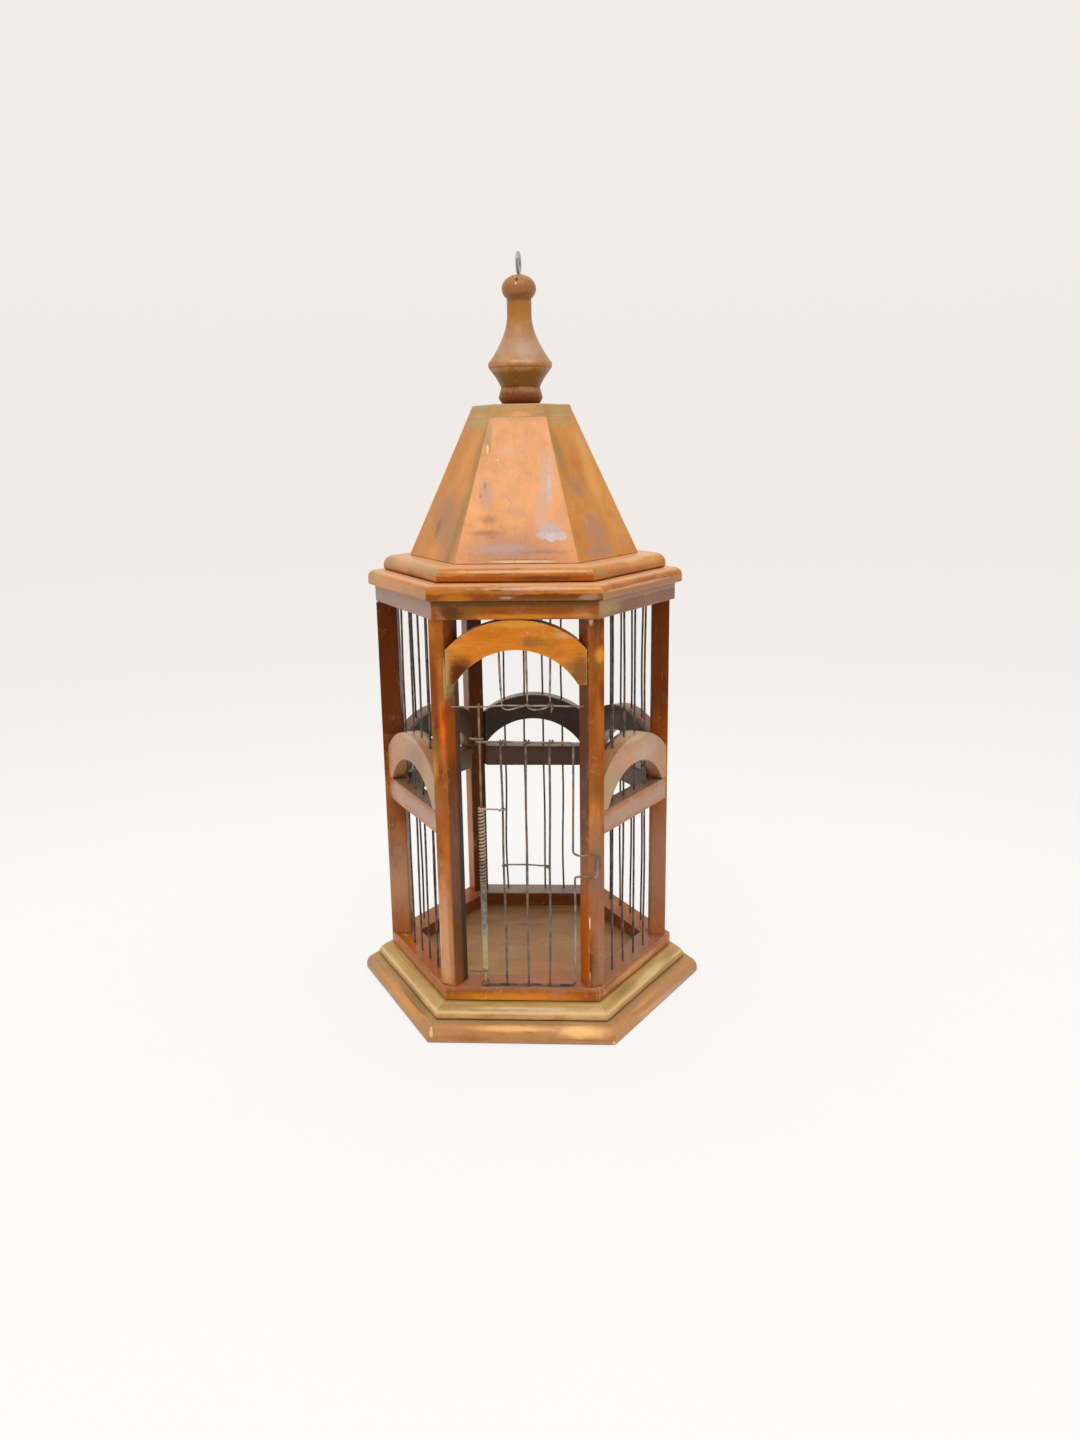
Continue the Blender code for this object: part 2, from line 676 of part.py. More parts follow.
def roof_panel_mesh(name):
    """The front roof panel, a board sawn to the foot, the cap and two mitres."""
    normal = roof_normal()
    tilt = normal.z / -normal.y
    stock = 2.0 * ROOF_HEIGHT * math.hypot(1.0, tilt)
    bm = bmesh.new()
    bmesh.ops.create_cube(bm, size=1.0)
    bmesh.ops.scale(bm, vec=(stock, ROOF_PANEL_THICKNESS, stock), verts=bm.verts[:])
    lean = Matrix.Rotation(-math.atan(tilt), 4, "X")
    foot_edge = Vector((0.0, -roof_flat(ROOF_FOOT), ROOF_FOOT))
    place = Matrix.Translation(foot_edge - normal * ROOF_PANEL_THICKNESS / 2.0)
    bmesh.ops.transform(bm, matrix=place @ lean, verts=bm.verts[:])
    down = Vector((0.0, 0.0, -1.0))
    trim(bm, Vector((0.0, 0.0, ROOF_FOOT)), down)
    trim(bm, Vector((0.0, 0.0, CAP_FOOT - GLUE_LINE)), -down)
    for hand in (1.0, -1.0):
        mitre = Vector((hand * math.cos(SECTOR / 2.0), math.sin(SECTOR / 2.0), 0.0))
        trim(bm, -mitre * GLUE_LINE / 2.0, mitre)
    bmesh.ops.recalc_face_normals(bm, faces=bm.faces[:])
    return mesh_from(bm, name)


def make_roof():
    """Six panels that lean on the plug of the cap block."""
    for side, side_name in enumerate(SIDE_NAMES):
        name = "roof_panel_" + side_name
        panel = add_piece(name, roof_panel_mesh(name), wood_pale)
        panel.rotation_euler.z = side_angle(side)
    wall = ROOF_PANEL_THICKNESS / -roof_normal().y + GLUE_LINE
    plug_foot = CAP_FOOT - CAP_PLUG_DEPTH
    outline = [
        (0.0, ROOF_TOP),
        (roof_flat(ROOF_TOP), ROOF_TOP),
        (roof_flat(CAP_FOOT), CAP_FOOT),
        (roof_flat(CAP_FOOT) - wall, CAP_FOOT),
        (roof_flat(plug_foot) - wall, plug_foot),
        (0.0, plug_foot),
    ]
    cap = add_hexagonal("roof_cap", outline, wood_tan)
    add_boolean(cap, tenon_bore)


def finial_outline():
    """(radius, height) down the finial, from the bore of the screw eye over the outside to the tenon."""
    bore = EYE_WIRE_DIAMETER / 2.0 + GLUE_LINE
    bore_foot = BALL_TOP - EYE_SHANK_DEPTH - GLUE_LINE
    mouth = math.asin(EYE_PIT_RADIUS / FINIAL_BALL_RADIUS)
    seam = math.pi - math.asin(FINIAL_NECK_RADIUS / FINIAL_BALL_RADIUS)
    outline = [(0.0, bore_foot), (bore, bore_foot), (bore, BALL_TOP - EYE_PIT_DEPTH)]
    for i in range(FINIAL_BALL_FACETS + 1):
        angle = mouth + (seam - mouth) * i / FINIAL_BALL_FACETS
        height = BALL_CENTRE + FINIAL_BALL_HALF_HEIGHT * math.cos(angle)
        outline.append((FINIAL_BALL_RADIUS * math.sin(angle), height))
    neck_low = FINIAL_FOOT + FINIAL_NECK_LOW
    belly = FINIAL_FOOT + FINIAL_BELLY_HEIGHT
    shoulder = belly + FINIAL_BELLY_ROUND
    spread = FINIAL_BELLY_RADIUS - FINIAL_BELLY_ROUND / 2.0 - FINIAL_NECK_RADIUS
    for i in range(FINIAL_FLARE_FACETS + 1):
        share = i / FINIAL_FLARE_FACETS
        radius = FINIAL_NECK_RADIUS + spread * share**FINIAL_FLARE_POWER
        outline.append((radius, neck_low + (shoulder - neck_low) * share))
    third = FINIAL_BELLY_ROUND / 3.0
    outline.append((FINIAL_BELLY_RADIUS, belly + third))
    outline.append((FINIAL_BELLY_RADIUS, belly - third))
    outline.append((FINIAL_BELLY_RADIUS - third, belly - FINIAL_BELLY_ROUND))
    outline.append((FINIAL_WAIST_RADIUS, FINIAL_FOOT + FINIAL_WAIST_HEIGHT))
    outline.append((FINIAL_FLANGE_RADIUS, FINIAL_FOOT + FINIAL_FLANGE_HEIGHT))
    outline.append((FINIAL_FOOT_RADIUS, FINIAL_FOOT))
    outline.append((TENON_RADIUS, FINIAL_FOOT))
    outline.append((TENON_RADIUS, FINIAL_FOOT - TENON_LENGTH))
    outline.append((0.0, FINIAL_FOOT - TENON_LENGTH))
    return outline


def make_finial():
    finial = add_piece("finial", turned_mesh("finial", finial_outline()), wood)
    add_screw(finial, FINIAL_STEPS, True)


def make_screw_eye():
    """A ring of wire whose shank runs down into the ball of the finial."""
    wire_radius = EYE_WIRE_DIAMETER / 2.0
    centre = Vector((0.0, 0.0, BALL_TOP - EYE_RING_SINK + wire_radius + EYE_RING_RADIUS))
    across = Vector((0.0, 1.0, 0.0))
    along = Vector((0.0, 0.0, 1.0))
    start = math.radians(EYE_RING_START_DEGREES)
    end = math.radians(EYE_RING_END_DEGREES)
    points = [along * (BALL_TOP - EYE_SHANK_DEPTH), along * (BALL_TOP - EYE_BEND_DEPTH)]
    points += arc_points(centre, across, along, EYE_RING_RADIUS, start, end, EYE_RING_FACETS)
    eye = add_piece("screw_eye", wire_curve("screw_eye", points, wire_radius), metal_eye)
    eye.rotation_euler.z = math.radians(EYE_TURN_DEGREES)


def header_middle():
    """Middle of the header wire, which the eye of the rod goes round."""
    behind = HEADER_RADIUS + LOOP_CLEARANCE + ROD_RADIUS
    return Vector((0.0, HINGE.y + behind, HEADER_LEVEL))


def header_half_length():
    """Half the length of the header wire, whose ends are let into the sides of the front posts."""
    return post_side_face(header_middle().y) + HEADER_SEAT_DEPTH


def short_bar_spots():
    """Places of the short bars over the door, in line with the header wire."""
    return [Vector((FRAME_SIDE * share, header_middle().y, 0.0)) for share in SHORT_BAR_X_SHARES]


def make_header_wire():
    """The header wire, in one piece with the short bars that are wound on it."""
    up = Vector((0.0, 0.0, 1.0))
    half = Vector((header_half_length(), 0.0, 0.0))
    middle = header_middle()
    run = [(middle - half, middle + half, HEADER_RADIUS)]
    header = add_piece("header_wire", cylinder_mesh("header_wire", run, WIRE_FACETS), metal_rusty)
    foot = HEADER_LEVEL - SHORT_BAR_BELOW_HEADER
    head = FRIEZE_FOOT + BAR_SEAT_DEPTH
    runs = [(spot + up * foot, spot + up * head, BAR_RADIUS) for spot in short_bar_spots()]
    short_bars = add_cutter("short_bars", cylinder_mesh("short_bars", runs, WIRE_FACETS))
    add_boolean(header, short_bars, "UNION")


def make_hinge_rod():
    """An upright rod let into the sill, with an eye round the header wire at its head."""
    across = Vector((0.0, 1.0, 0.0))
    along = Vector((0.0, 0.0, 1.0))
    header = header_middle()
    radius = header.y - HINGE.y
    centre = Vector((0.0, radius, header.z))
    foot = Vector((0.0, 0.0, SILL_TOP - ROD_SEAT_DEPTH))
    points = [foot] + arc_points(centre, across, along, radius, math.pi, -math.pi / 2.0, LOOP_FACETS)
    rod = add_piece("hinge_rod", wire_curve("hinge_rod", points, ROD_RADIUS), metal_rusty)
    rod.location = HINGE


def tab_plane():
    """How far in front of the hinge the tab lies, to clear the nearest corner of the post."""
    post_corner = POST_FACE * math.cos(SECTOR / 2.0) + POST_WIDTH / 2.0 * math.sin(SECTOR / 2.0)
    return -post_corner - TAB_CLEARANCE - DOOR_WIRE_RADIUS - HINGE.y


def hinge_loop(height, rise):
    """Loop of the door wire round the rod, from its free end to where it leaves in front of the rod."""
    radius = DOOR_LOOP_RADIUS
    start = math.radians(LOOP_START_DEGREES)
    end = math.radians(LOOP_END_DEGREES)
    points = []
    for i in range(LOOP_FACETS + 1):
        share = i / LOOP_FACETS
        angle = start + (end - start) * share
        lift = rise * (1.0 - share)
        points.append(Vector((radius * math.cos(angle), radius * math.sin(angle), height + lift)))
    return points


def make_door_frame():
    """One wire, as loop, top bar, latch side with its finger tab, bottom bar and loop."""
    front = -DOOR_LOOP_RADIUS
    tab_front = tab_plane()
    foot = SILL_TOP + DOOR_BOTTOM_CLEARANCE + DOOR_WIRE_RADIUS
    tab_top = SILL_TOP + DOOR_HEIGHT * TAB_TOP_SHARE
    tab_foot = tab_top - TAB_HEIGHT
    tab_crank = DOOR_WIDTH + TAB_REACH * TAB_CRANK_SHARE
    tab_end = DOOR_WIDTH + TAB_REACH
    corners = [
        Vector((DOOR_WIDTH, front, DOOR_TOP)),
        Vector((DOOR_WIDTH, front, tab_top)),
        Vector((tab_crank, tab_front, tab_top)),
        Vector((tab_end, tab_front, tab_top)),
        Vector((tab_end, tab_front, tab_foot)),
        Vector((tab_crank, tab_front, tab_foot)),
        Vector((DOOR_WIDTH, front, tab_foot)),
        Vector((DOOR_WIDTH, front, foot)),
    ]
    radii = [
        DOOR_CORNER_RADIUS,
        TAB_CORNER_RADIUS,
        TAB_CORNER_RADIUS,
        TAB_CORNER_RADIUS,
        TAB_CORNER_RADIUS,
        TAB_CORNER_RADIUS,
        TAB_CORNER_RADIUS,
        DOOR_CORNER_RADIUS,
    ]
    upper = hinge_loop(DOOR_TOP, DOOR_LOOP_RISE)
    lower = hinge_loop(foot, DOOR_LOOP_RISE)
    lower.reverse()
    stops = [upper[-1]] + corners + [lower[0]]
    points = list(upper)
    for before, corner, after, radius in zip(stops, corners, stops[2:], radii):
        points += rounded_corner(before, corner, after, radius, DOOR_CORNER_FACETS)
    points += lower
    add_piece("door_frame", wire_curve("door_frame", points, DOOR_WIRE_RADIUS), metal_rusty, door)


def door_bar_depth():
    """How far behind the frame wire the door's bars hang."""
    return DOOR_WIRE_RADIUS + LOOP_CLEARANCE + DOOR_BAR_RADIUS


def make_door_bars():
    """Upright wires with an eye round the top bar, their feet behind the bottom bar."""
    front = -DOOR_LOOP_RADIUS
    radius = door_bar_depth()
    across = Vector((0.0, 1.0, 0.0))
    along = Vector((0.0, 0.0, 1.0))
    for number, place in enumerate(DOOR_BAR_PLACES, start=1):
        name = f"door_bar_{number}"
        foot = Vector((place, front + radius, SILL_TOP + DOOR_BOTTOM_CLEARANCE))
        centre = Vector((place, front, DOOR_TOP))
        points = [foot] + arc_points(centre, across, along, radius, 0.0, 1.5 * math.pi, LOOP_FACETS)
        add_piece(name, wire_curve(name, points, DOOR_BAR_RADIUS), metal_bar, door)


def make_cross_tie():
    """A thin wire wound once round the outer door bars and drawn across behind the middle one."""
    line = door_bar_depth() - DOOR_LOOP_RADIUS
    height = SILL_TOP + DOOR_HEIGHT * TIE_HEIGHT_SHARE
    radius = DOOR_BAR_RADIUS + LOOP_CLEARANCE + TIE_RADIUS
    across = Vector((1.0, 0.0, 0.0))
    along = Vector((0.0, 1.0, 0.0))
    first = Vector((DOOR_BAR_PLACES[0], line, height))
    last = Vector((DOOR_BAR_PLACES[-1], line, height))
    back = math.pi / 2.0
    wrap = math.radians(TIE_WRAP_DEGREES)
    points = arc_points(first, across, along, radius, back + wrap, back, LOOP_FACETS)
    points += arc_points(last, across, along, radius, back, back - wrap, LOOP_FACETS)
    add_piece("door_cross_tie", wire_curve("door_cross_tie", points, TIE_RADIUS), metal_bar, door)


def spring_radius():
    return ROD_RADIUS + SPRING_CLEARANCE + SPRING_WIRE_RADIUS


def spring_points():
    """From the post along the lower arm, up the coil and out to the hook on the first door bar."""
    radius = spring_radius()
    foot = SILL_TOP + SPRING_FOOT_ABOVE_SILL
    head = foot + SPRING_PITCH * SPRING_TURNS
    end_slant = SPRING_WIRE_RADIUS * SLOPE_SHARE + GLUE_LINE / FLAT_SHARE
    lower_end = Vector((end_slant - post_side_face(HINGE.y - radius) - HINGE.x, -radius, foot))
    points = [lower_end, Vector((-radius, -radius, foot))]
    count = SPRING_TURNS * SPRING_POINTS_PER_TURN
    for i in range(count + 1):
        angle = -math.pi / 2.0 + 2.0 * math.pi * i / SPRING_POINTS_PER_TURN
        height = foot + SPRING_PITCH * i / SPRING_POINTS_PER_TURN
        points.append(Vector((radius * math.cos(angle), radius * math.sin(angle), height)))
    bar = Vector((DOOR_BAR_PLACES[0], door_bar_depth() - DOOR_LOOP_RADIUS, head))
    hook = DOOR_BAR_RADIUS + SPRING_CLEARANCE + SPRING_WIRE_RADIUS
    sweep = math.radians(SPRING_HOOK_TURN_DEGREES)
    across = Vector((1.0, 0.0, 0.0))
    along = Vector((0.0, 1.0, 0.0))
    start = -math.pi / 2.0
    bend = arc_points(bar, across, along, hook, start, start + sweep, LOOP_FACETS)
    points += bend
    onward = (bend[-1] - bend[-2]).normalized()
    points.append(bend[-1] + onward * SPRING_WIRE_DIAMETER)
    return points


def least_gap_to_itself(points, diameter):
    """Least clear distance between runs of the wire that lie more than half a turn apart along it."""
    apart = SPRING_POINTS_PER_TURN // 2 + 1
    least = math.inf
    for i, point in enumerate(points):
        for other in points[i + apart :]:
            least = min(least, (point - other).length)
    return least - diameter


def make_spring():
    points = spring_points()
    spring = wire_curve("door_spring", points, SPRING_WIRE_RADIUS, resolution=1)
    piece = add_piece("door_spring", spring, metal_spring)
    piece.location = HINGE
    gap = least_gap_to_itself(points, SPRING_WIRE_DIAMETER)
    print(f"door spring: {SPRING_TURNS} turns, least gap to itself {gap * 1000.0:.2f} mm")


clear_scene()
parts = new_collection("wooden_birdcage")
cutters = new_collection("birdcage_cutters")

wood = new_material("stained_wood", WOOD, 0.38, 0.0)
wood_pale = new_material("worn_stained_wood", PALE_WOOD, 0.42, 0.0)
wood_tan = new_material("tan_wood", TAN_WOOD, 0.45, 0.0)
metal_bar = new_material("grey_wire", BAR_METAL, 0.50, 0.8)
metal_rusty = new_material("rusty_wire", RUSTY_METAL, 0.60, 0.6)
metal_spring = new_material("spring_wire", SPRING_METAL, 0.50, 0.7)
metal_eye = new_material("plated_eye", EYE_METAL, 0.35, 0.9)

door = bpy.data.objects.new("door_hinge_axis", None)
door.location = HINGE
parts.objects.link(door)

bar_bores, rod_bore, header_bore, tenon_bore = make_bores()
make_base()
make_frames()
make_posts()
make_side_boards()
make_bars()
make_cornice()
make_roof()
make_finial()
make_screw_eye()
make_header_wire()
make_hinge_rod()
make_door_frame()
make_door_bars()
make_cross_tie()
make_spring()
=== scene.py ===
"""Looks of the hexagonal wooden birdcage: worn stained boards, bent wires, soft light and the camera."""

import math
import random

import bmesh
import bpy
from mathutils import Matrix, Vector


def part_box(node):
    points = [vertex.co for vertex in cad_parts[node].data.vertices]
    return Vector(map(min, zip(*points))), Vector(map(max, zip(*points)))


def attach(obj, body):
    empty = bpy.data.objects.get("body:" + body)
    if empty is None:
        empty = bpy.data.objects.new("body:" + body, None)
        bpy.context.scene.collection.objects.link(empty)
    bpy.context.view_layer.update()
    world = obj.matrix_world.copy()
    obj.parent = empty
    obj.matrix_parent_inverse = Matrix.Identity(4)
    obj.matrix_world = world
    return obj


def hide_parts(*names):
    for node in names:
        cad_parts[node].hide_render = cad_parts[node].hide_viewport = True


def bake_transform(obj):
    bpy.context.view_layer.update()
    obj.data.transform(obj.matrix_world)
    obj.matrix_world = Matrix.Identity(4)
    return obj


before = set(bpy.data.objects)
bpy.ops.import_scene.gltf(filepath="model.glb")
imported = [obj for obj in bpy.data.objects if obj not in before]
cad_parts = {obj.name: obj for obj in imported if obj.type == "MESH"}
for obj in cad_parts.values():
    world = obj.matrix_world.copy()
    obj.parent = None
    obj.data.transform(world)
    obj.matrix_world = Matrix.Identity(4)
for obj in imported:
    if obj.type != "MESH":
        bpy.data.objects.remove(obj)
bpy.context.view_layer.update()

MM = 0.001
TURN = 2.0 * math.pi
SIXTH = math.pi / 3.0
FLAT = math.cos(SIXTH / 2.0)
SLOPE = math.tan(SIXTH / 2.0)
SIDES = ("front", "front_right", "back_right", "back", "back_left", "front_left")
CORNERS = ("front_right", "right", "back_right", "back_left", "left", "front_left")
X = Vector((1.0, 0.0, 0.0))
Y = Vector((0.0, 1.0, 0.0))
Z = Vector((0.0, 0.0, 1.0))


def top_of(node):
    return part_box(node)[1].z


def foot_of(node):
    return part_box(node)[0].z


def flat_of(node):
    """Distance from the axis to the flat sides of a hexagonal node."""
    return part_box(node)[1].x * FLAT


def at(x, y, z):
    """A place from its millimetres."""
    return Vector((x, y, z)) * MM


def turned_to(side):
    """The turn about the axis that takes the front side to another."""
    return Matrix.Rotation(side * SIXTH, 3, "Z")


SILL_TOP = top_of("sill_frame")
FLOOR_TOP = foot_of("sill_frame") - 0.3 * MM
FRIEZE_FOOT = foot_of("frieze_frame")
FRAME_FLAT = flat_of("sill_frame")
BOARD_OUTER = FRAME_FLAT - 1.2 * MM
BOARD_INNER = BOARD_OUTER - 13.5 * MM
POST_WIDTH = 13.5 * MM
POST_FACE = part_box("post_right")[1].x

# Places of the wires in millimetres
HINGE_X, HINGE_Y = -27.5, -96.47
DOOR_FOOT, DOOR_TOP = 37.2, 226.1
DOOR_FRONT = HINGE_Y - 2.25
HEADER_Y, HEADER_LEVEL = -94.57, 251.6


# Shader building


class Nodes:
    """Adds nodes to a tree by short calls that return sockets."""

    def __init__(self, tree):
        self.tree = tree

    def node(self, kind, **settings):
        made = self.tree.nodes.new(kind)
        for key, value in settings.items():
            setattr(made, key, value)
        return made

    def put(self, socket, value):
        """Links a socket, or sets it to a number, a vector or a colour of three values."""
        if isinstance(value, bpy.types.NodeSocket):
            self.tree.links.new(value, socket)
        elif socket.type == "RGBA":
            socket.default_value = (*value, 1.0)
        else:
            socket.default_value = value

    def named(self, made, **values):
        """Fills the sockets of a node by their names, with underscores for spaces."""
        for name, value in values.items():
            self.put(made.inputs[name.replace("_", " ")], value)

    def call(self, kind, values, output=0, **settings):
        """Fills the first sockets of a new node and returns one of its outputs."""
        made = self.node(kind, **settings)
        for socket, value in zip(made.inputs, values):
            self.put(socket, value)
        return made.outputs[output]

    def math(self, operation, *values, clamp=False):
        return self.call("ShaderNodeMath", values, operation=operation, use_clamp=clamp)

    def add(self, a, b):
        return self.math("ADD", a, b)

    def times(self, a, b):
        return self.math("MULTIPLY", a, b)

    def scaled(self, value, factor, shift):
        return self.math("MULTIPLY_ADD", value, factor, shift)

    def vector(self, operation, *values):
        output = "Value" if operation in ("DISTANCE", "DOT_PRODUCT", "LENGTH") else "Vector"
        return self.call("ShaderNodeVectorMath", values, output, operation=operation)

    def split(self, vector):
        made = self.node("ShaderNodeSeparateXYZ")
        self.put(made.inputs[0], vector)
        return made.outputs

    def join(self, x, y, z):
        return self.call("ShaderNodeCombineXYZ", (x, y, z))

    def mix(self, factor, a, b):
        made = self.node("ShaderNodeMix", data_type="RGBA")
        for index, value in ((0, factor), (6, a), (7, b)):
            self.put(made.inputs[index], value)
        return made.outputs[2]

    def noise(self, vector, scale=1.0, detail=2.0, roughness=0.5, distortion=0.0):
        made = self.node("ShaderNodeTexNoise")
        self.named(made, Vector=vector, Scale=scale, Detail=detail)
        self.named(made, Roughness=roughness, Distortion=distortion)
        return made.outputs["Fac"]

    def span(self, value, low, high, to_low=0.0, to_high=1.0):
        """The value between low and high as a smooth step from to_low to to_high."""
        values = (value, low, high, to_low, to_high)
        return self.call("ShaderNodeMapRange", values, interpolation_type="SMOOTHSTEP")

    def turned(self, vector, angle):
        made = self.node("ShaderNodeVectorRotate", rotation_type="Z_AXIS")
        self.named(made, Vector=vector, Angle=angle)
        return made.outputs[0]

    def bump(self, height, strength, distance):
        made = self.node("ShaderNodeBump")
        self.named(made, Strength=strength, Distance=distance, Height=height)
        return made.outputs[0]

    def either(self, factor, a, b):
        """Shader a where the factor is 0 and b where it is 1."""
        return self.call("ShaderNodeMixShader", (factor, a, b))


class Surface(Nodes):
    """The nodes of a new material."""

    def __init__(self, name):
        self.material = bpy.data.materials.new(name)
        self.material.use_nodes = True
        super().__init__(self.material.node_tree)
        self.principled = self.tree.nodes["Principled BSDF"]
        self.position = self.node("ShaderNodeTexCoord").outputs["Object"]

    def finish(self, **values):
        self.named(self.principled, **values)
        return self.material


# Wood

STAINED = dict(dark=(0.110, 0.026, 0.004), mid=(0.400, 0.105, 0.008), light=(0.700, 0.240, 0.025))
AMBER = dict(dark=(0.260, 0.085, 0.008), mid=(0.610, 0.215, 0.018), light=(0.780, 0.330, 0.050))
ORANGE = dict(dark=(0.300, 0.075, 0.006), mid=(0.720, 0.220, 0.010), light=(0.880, 0.360, 0.040))
PALE = dict(dark=(0.420, 0.150, 0.035), mid=(0.750, 0.280, 0.080), light=(0.950, 0.420, 0.140))
SLAB = dict(dark=(0.260, 0.105, 0.030), mid=(0.540, 0.250, 0.085), light=(0.760, 0.400, 0.160))
GOLD = dict(dark=(0.150, 0.052, 0.008), mid=(0.430, 0.165, 0.028), light=(0.660, 0.340, 0.110))
TAN = dict(dark=(0.230, 0.100, 0.020), mid=(0.520, 0.280, 0.075), light=(0.720, 0.450, 0.170))
FLOOR = dict(dark=(0.200, 0.095, 0.030), mid=(0.360, 0.190, 0.070), light=(0.480, 0.290, 0.120))
HAZE = (0.500, 0.330, 0.270)
LILAC = (0.700, 0.500, 0.470)
# Painted sheen on the rounded tops of the cornices
SHEEN_PINK = (0.780, 0.430, 0.210)
# Colour of the painted shade on inner faces
PAINTED_INNER_SHADE = (0.055, 0.040, 0.030)
OLIVE = (0.260, 0.160, 0.030)
RUST_STAIN = (0.340, 0.070, 0.006)
UMBER = (0.140, 0.045, 0.008)
BARE = (0.860, 0.620, 0.360)
NEAR_BLACK = (0.020, 0.024, 0.016)
WHOLE = 900


def band(level, half_height, tint, strength, softness, *side):
    """A mark along the whole of a board."""
    return (0, level, WHOLE, half_height, tint, strength, softness, *side)


def wood(name, palette, grain, turn=0.0, folded=False, lying=False, seed=0, tone=0.5, contrast=1.0, haze=0.3,
         wear=0.5, inner_shade=0.0, inner_at=None, shade_colour_within=PAINTED_INNER_SHADE, fade=None, marks=(), roughness=0.34,
         hollow_grime_and_shade=0.4, gloss=0.3):
    """Stained wood. Grain runs along x or z of the front side after a turn back by the piece's own angle.

    tone shifts the stain between its colours, haze greys it in clouds, wear bares the edges, inner shade
    paints shade on what lies nearer the axis than inner_at, and fade is (height, height, shift of tone).
    A mark is (x, z, half width, half height, colour, strength, softness) in the side's own place, with
    millimetres for lengths. On a folded piece, which goes round all six sides, the number of one side may
    follow. A lying board has its marks and fade along y."""
    s = Surface(name)
    local = s.turned(s.position, -turn)
    if folded:
        x, y, z = s.split(s.position)
        angle = s.math("ARCTAN2", x, s.times(y, -1.0))
        sector = s.math("FLOORED_MODULO", s.math("ROUND", s.math("DIVIDE", angle, SIXTH)), 6.0)
        local = s.turned(s.position, s.times(sector, -SIXTH))
    x, y, z = s.split(local)
    place = y if lying else z
    along = s.join(x, y, z) if grain == "x" else s.join(z, x, y)
    # Each piece, and each side of a folded one, has its own part of the noise
    shift = (seed * 1.37, seed * 0.71, seed * 2.13)
    if folded:
        jump = s.times(sector, 0.61)
        along = s.vector("ADD", along, s.join(jump, jump, jump))
    along = s.vector("ADD", along, shift)
    anywhere = s.vector("ADD", s.position, (shift[2], shift[0], shift[1]))

    def grained(lengthwise, across, *noise):
        return s.noise(s.vector("MULTIPLY", along, (lengthwise, across, across)), 1.0, *noise)

    cloud = grained(10.0, 30.0, 3.0, 0.6)
    streak = grained(13.0, 300.0, 5.0, 0.65, 0.3)
    fibre = grained(80.0, 2100.0, 2.0, 0.6)
    scratch = grained(55.0, 900.0, 2.0, 0.5)
    broad = s.noise(anywhere, 24.0, 2.0, 0.5)
    clouds = s.noise(anywhere, 38.0, 5.0, 0.65, 0.4)
    speck = s.noise(anywhere, 330.0, 3.0, 0.6)

    # Stain
    level = s.add(s.times(cloud, 1.3 * contrast), s.times(broad, 0.8 * contrast))
    level = s.add(level, s.times(streak, 0.7 * contrast))
    level = s.add(level, tone - 1.40 * contrast)
    if fade:
        level = s.add(level, s.span(place, fade[0], fade[1], 0.0, fade[2]))
    colour = s.mix(s.span(level, 0.0, 0.5), palette["dark"], palette["mid"])
    colour = s.mix(s.span(level, 0.5, 1.0), colour, palette["light"])
    hue = s.noise(s.vector("ADD", anywhere, (0.7, 0.2, 0.4)), 30.0, 4.0, 0.65)
    colour = s.mix(s.span(hue, 0.54, 0.72, 0.0, 0.55 * contrast), colour, OLIVE)
    colour = s.mix(s.span(hue, 0.46, 0.30, 0.0, 0.45 * contrast), colour, RUST_STAIN)
    colour = s.mix(s.span(fibre, 0.30, 0.46, 0.30, 0.0), colour, palette["dark"])
    # Haze greys the stain in clouds; where it is set high, on the side arches and rails, it stands in for
    # sheen
    hazy = s.span(clouds, 0.50, 0.66, 0.0, haze)
    colour = s.mix(hazy, colour, HAZE)

    # Marks with ragged edges
    frayed = s.noise(anywhere, 140.0, 4.0, 0.7)
    ragged = s.add(s.scaled(clouds, 1.1, -0.55), s.scaled(frayed, 1.3, -0.65))
    for at_x, at_z, wide, high, tint, strength, soft, *only in marks:
        off_x = s.scaled(x, 1.0 / (wide * MM), -at_x / wide)
        off_z = s.scaled(place, 1.0 / (high * MM), -at_z / high)
        away = s.scaled(ragged, 1.3 - soft, s.vector("LENGTH", s.join(off_x, off_z, 0.0)))
        share = s.span(away, 1.0 - soft, 1.0, strength, 0.0)
        for side in only:
            share = s.times(share, s.math("COMPARE", sector, float(side), 0.5))
        colour = s.mix(share, colour, tint)

    # Painted shade on the faces nearer the axis than inner_at
    if inner_at is not None:
        depth = s.times(y, -1.0)
        shaded_share = s.span(depth, inner_at - 1.5 * MM, inner_at + 1.5 * MM, inner_shade, 0.0)
        colour = s.mix(shaded_share, colour, shade_colour_within)

    # Scratches and specks
    colour = s.mix(s.span(scratch, 0.66, 0.74, 0.0, 0.55), colour, tuple(v * 0.7 for v in palette["dark"]))
    colour = s.mix(s.span(scratch, 0.33, 0.27, 0.0, 0.40), colour, palette["light"])
    colour = s.mix(s.span(speck, 0.69, 0.75, 0.0, 0.5), colour, palette["dark"])

    # Worn edges, where a rounded normal leans away from the flat one
    rounded = s.node("ShaderNodeBevel", samples=4)
    s.named(rounded, Radius=1.2 * MM)
    flat_normal = s.node("ShaderNodeNewGeometry").outputs["Normal"]
    worn = s.add(s.vector("DOT_PRODUCT", rounded.outputs[0], flat_normal), s.scaled(clouds, 0.5, -0.25))
    worn = s.add(worn, s.scaled(speck, 0.3, -0.15))
    colour = s.mix(s.span(worn, 0.80, 0.94, wear, 0.0), colour, BARE)

    # Darkening in the hollows from ambient occlusion: painted shade, with some grime
    hollow = s.node("ShaderNodeAmbientOcclusion", samples=4)
    s.named(hollow, Distance=4.0 * MM)
    grime_and_shade_share = s.span(hollow.outputs["AO"], 0.20, 0.75, hollow_grime_and_shade, 0.0)
    colour = s.mix(grime_and_shade_share, colour, tuple(v * 0.30 for v in palette["dark"]))

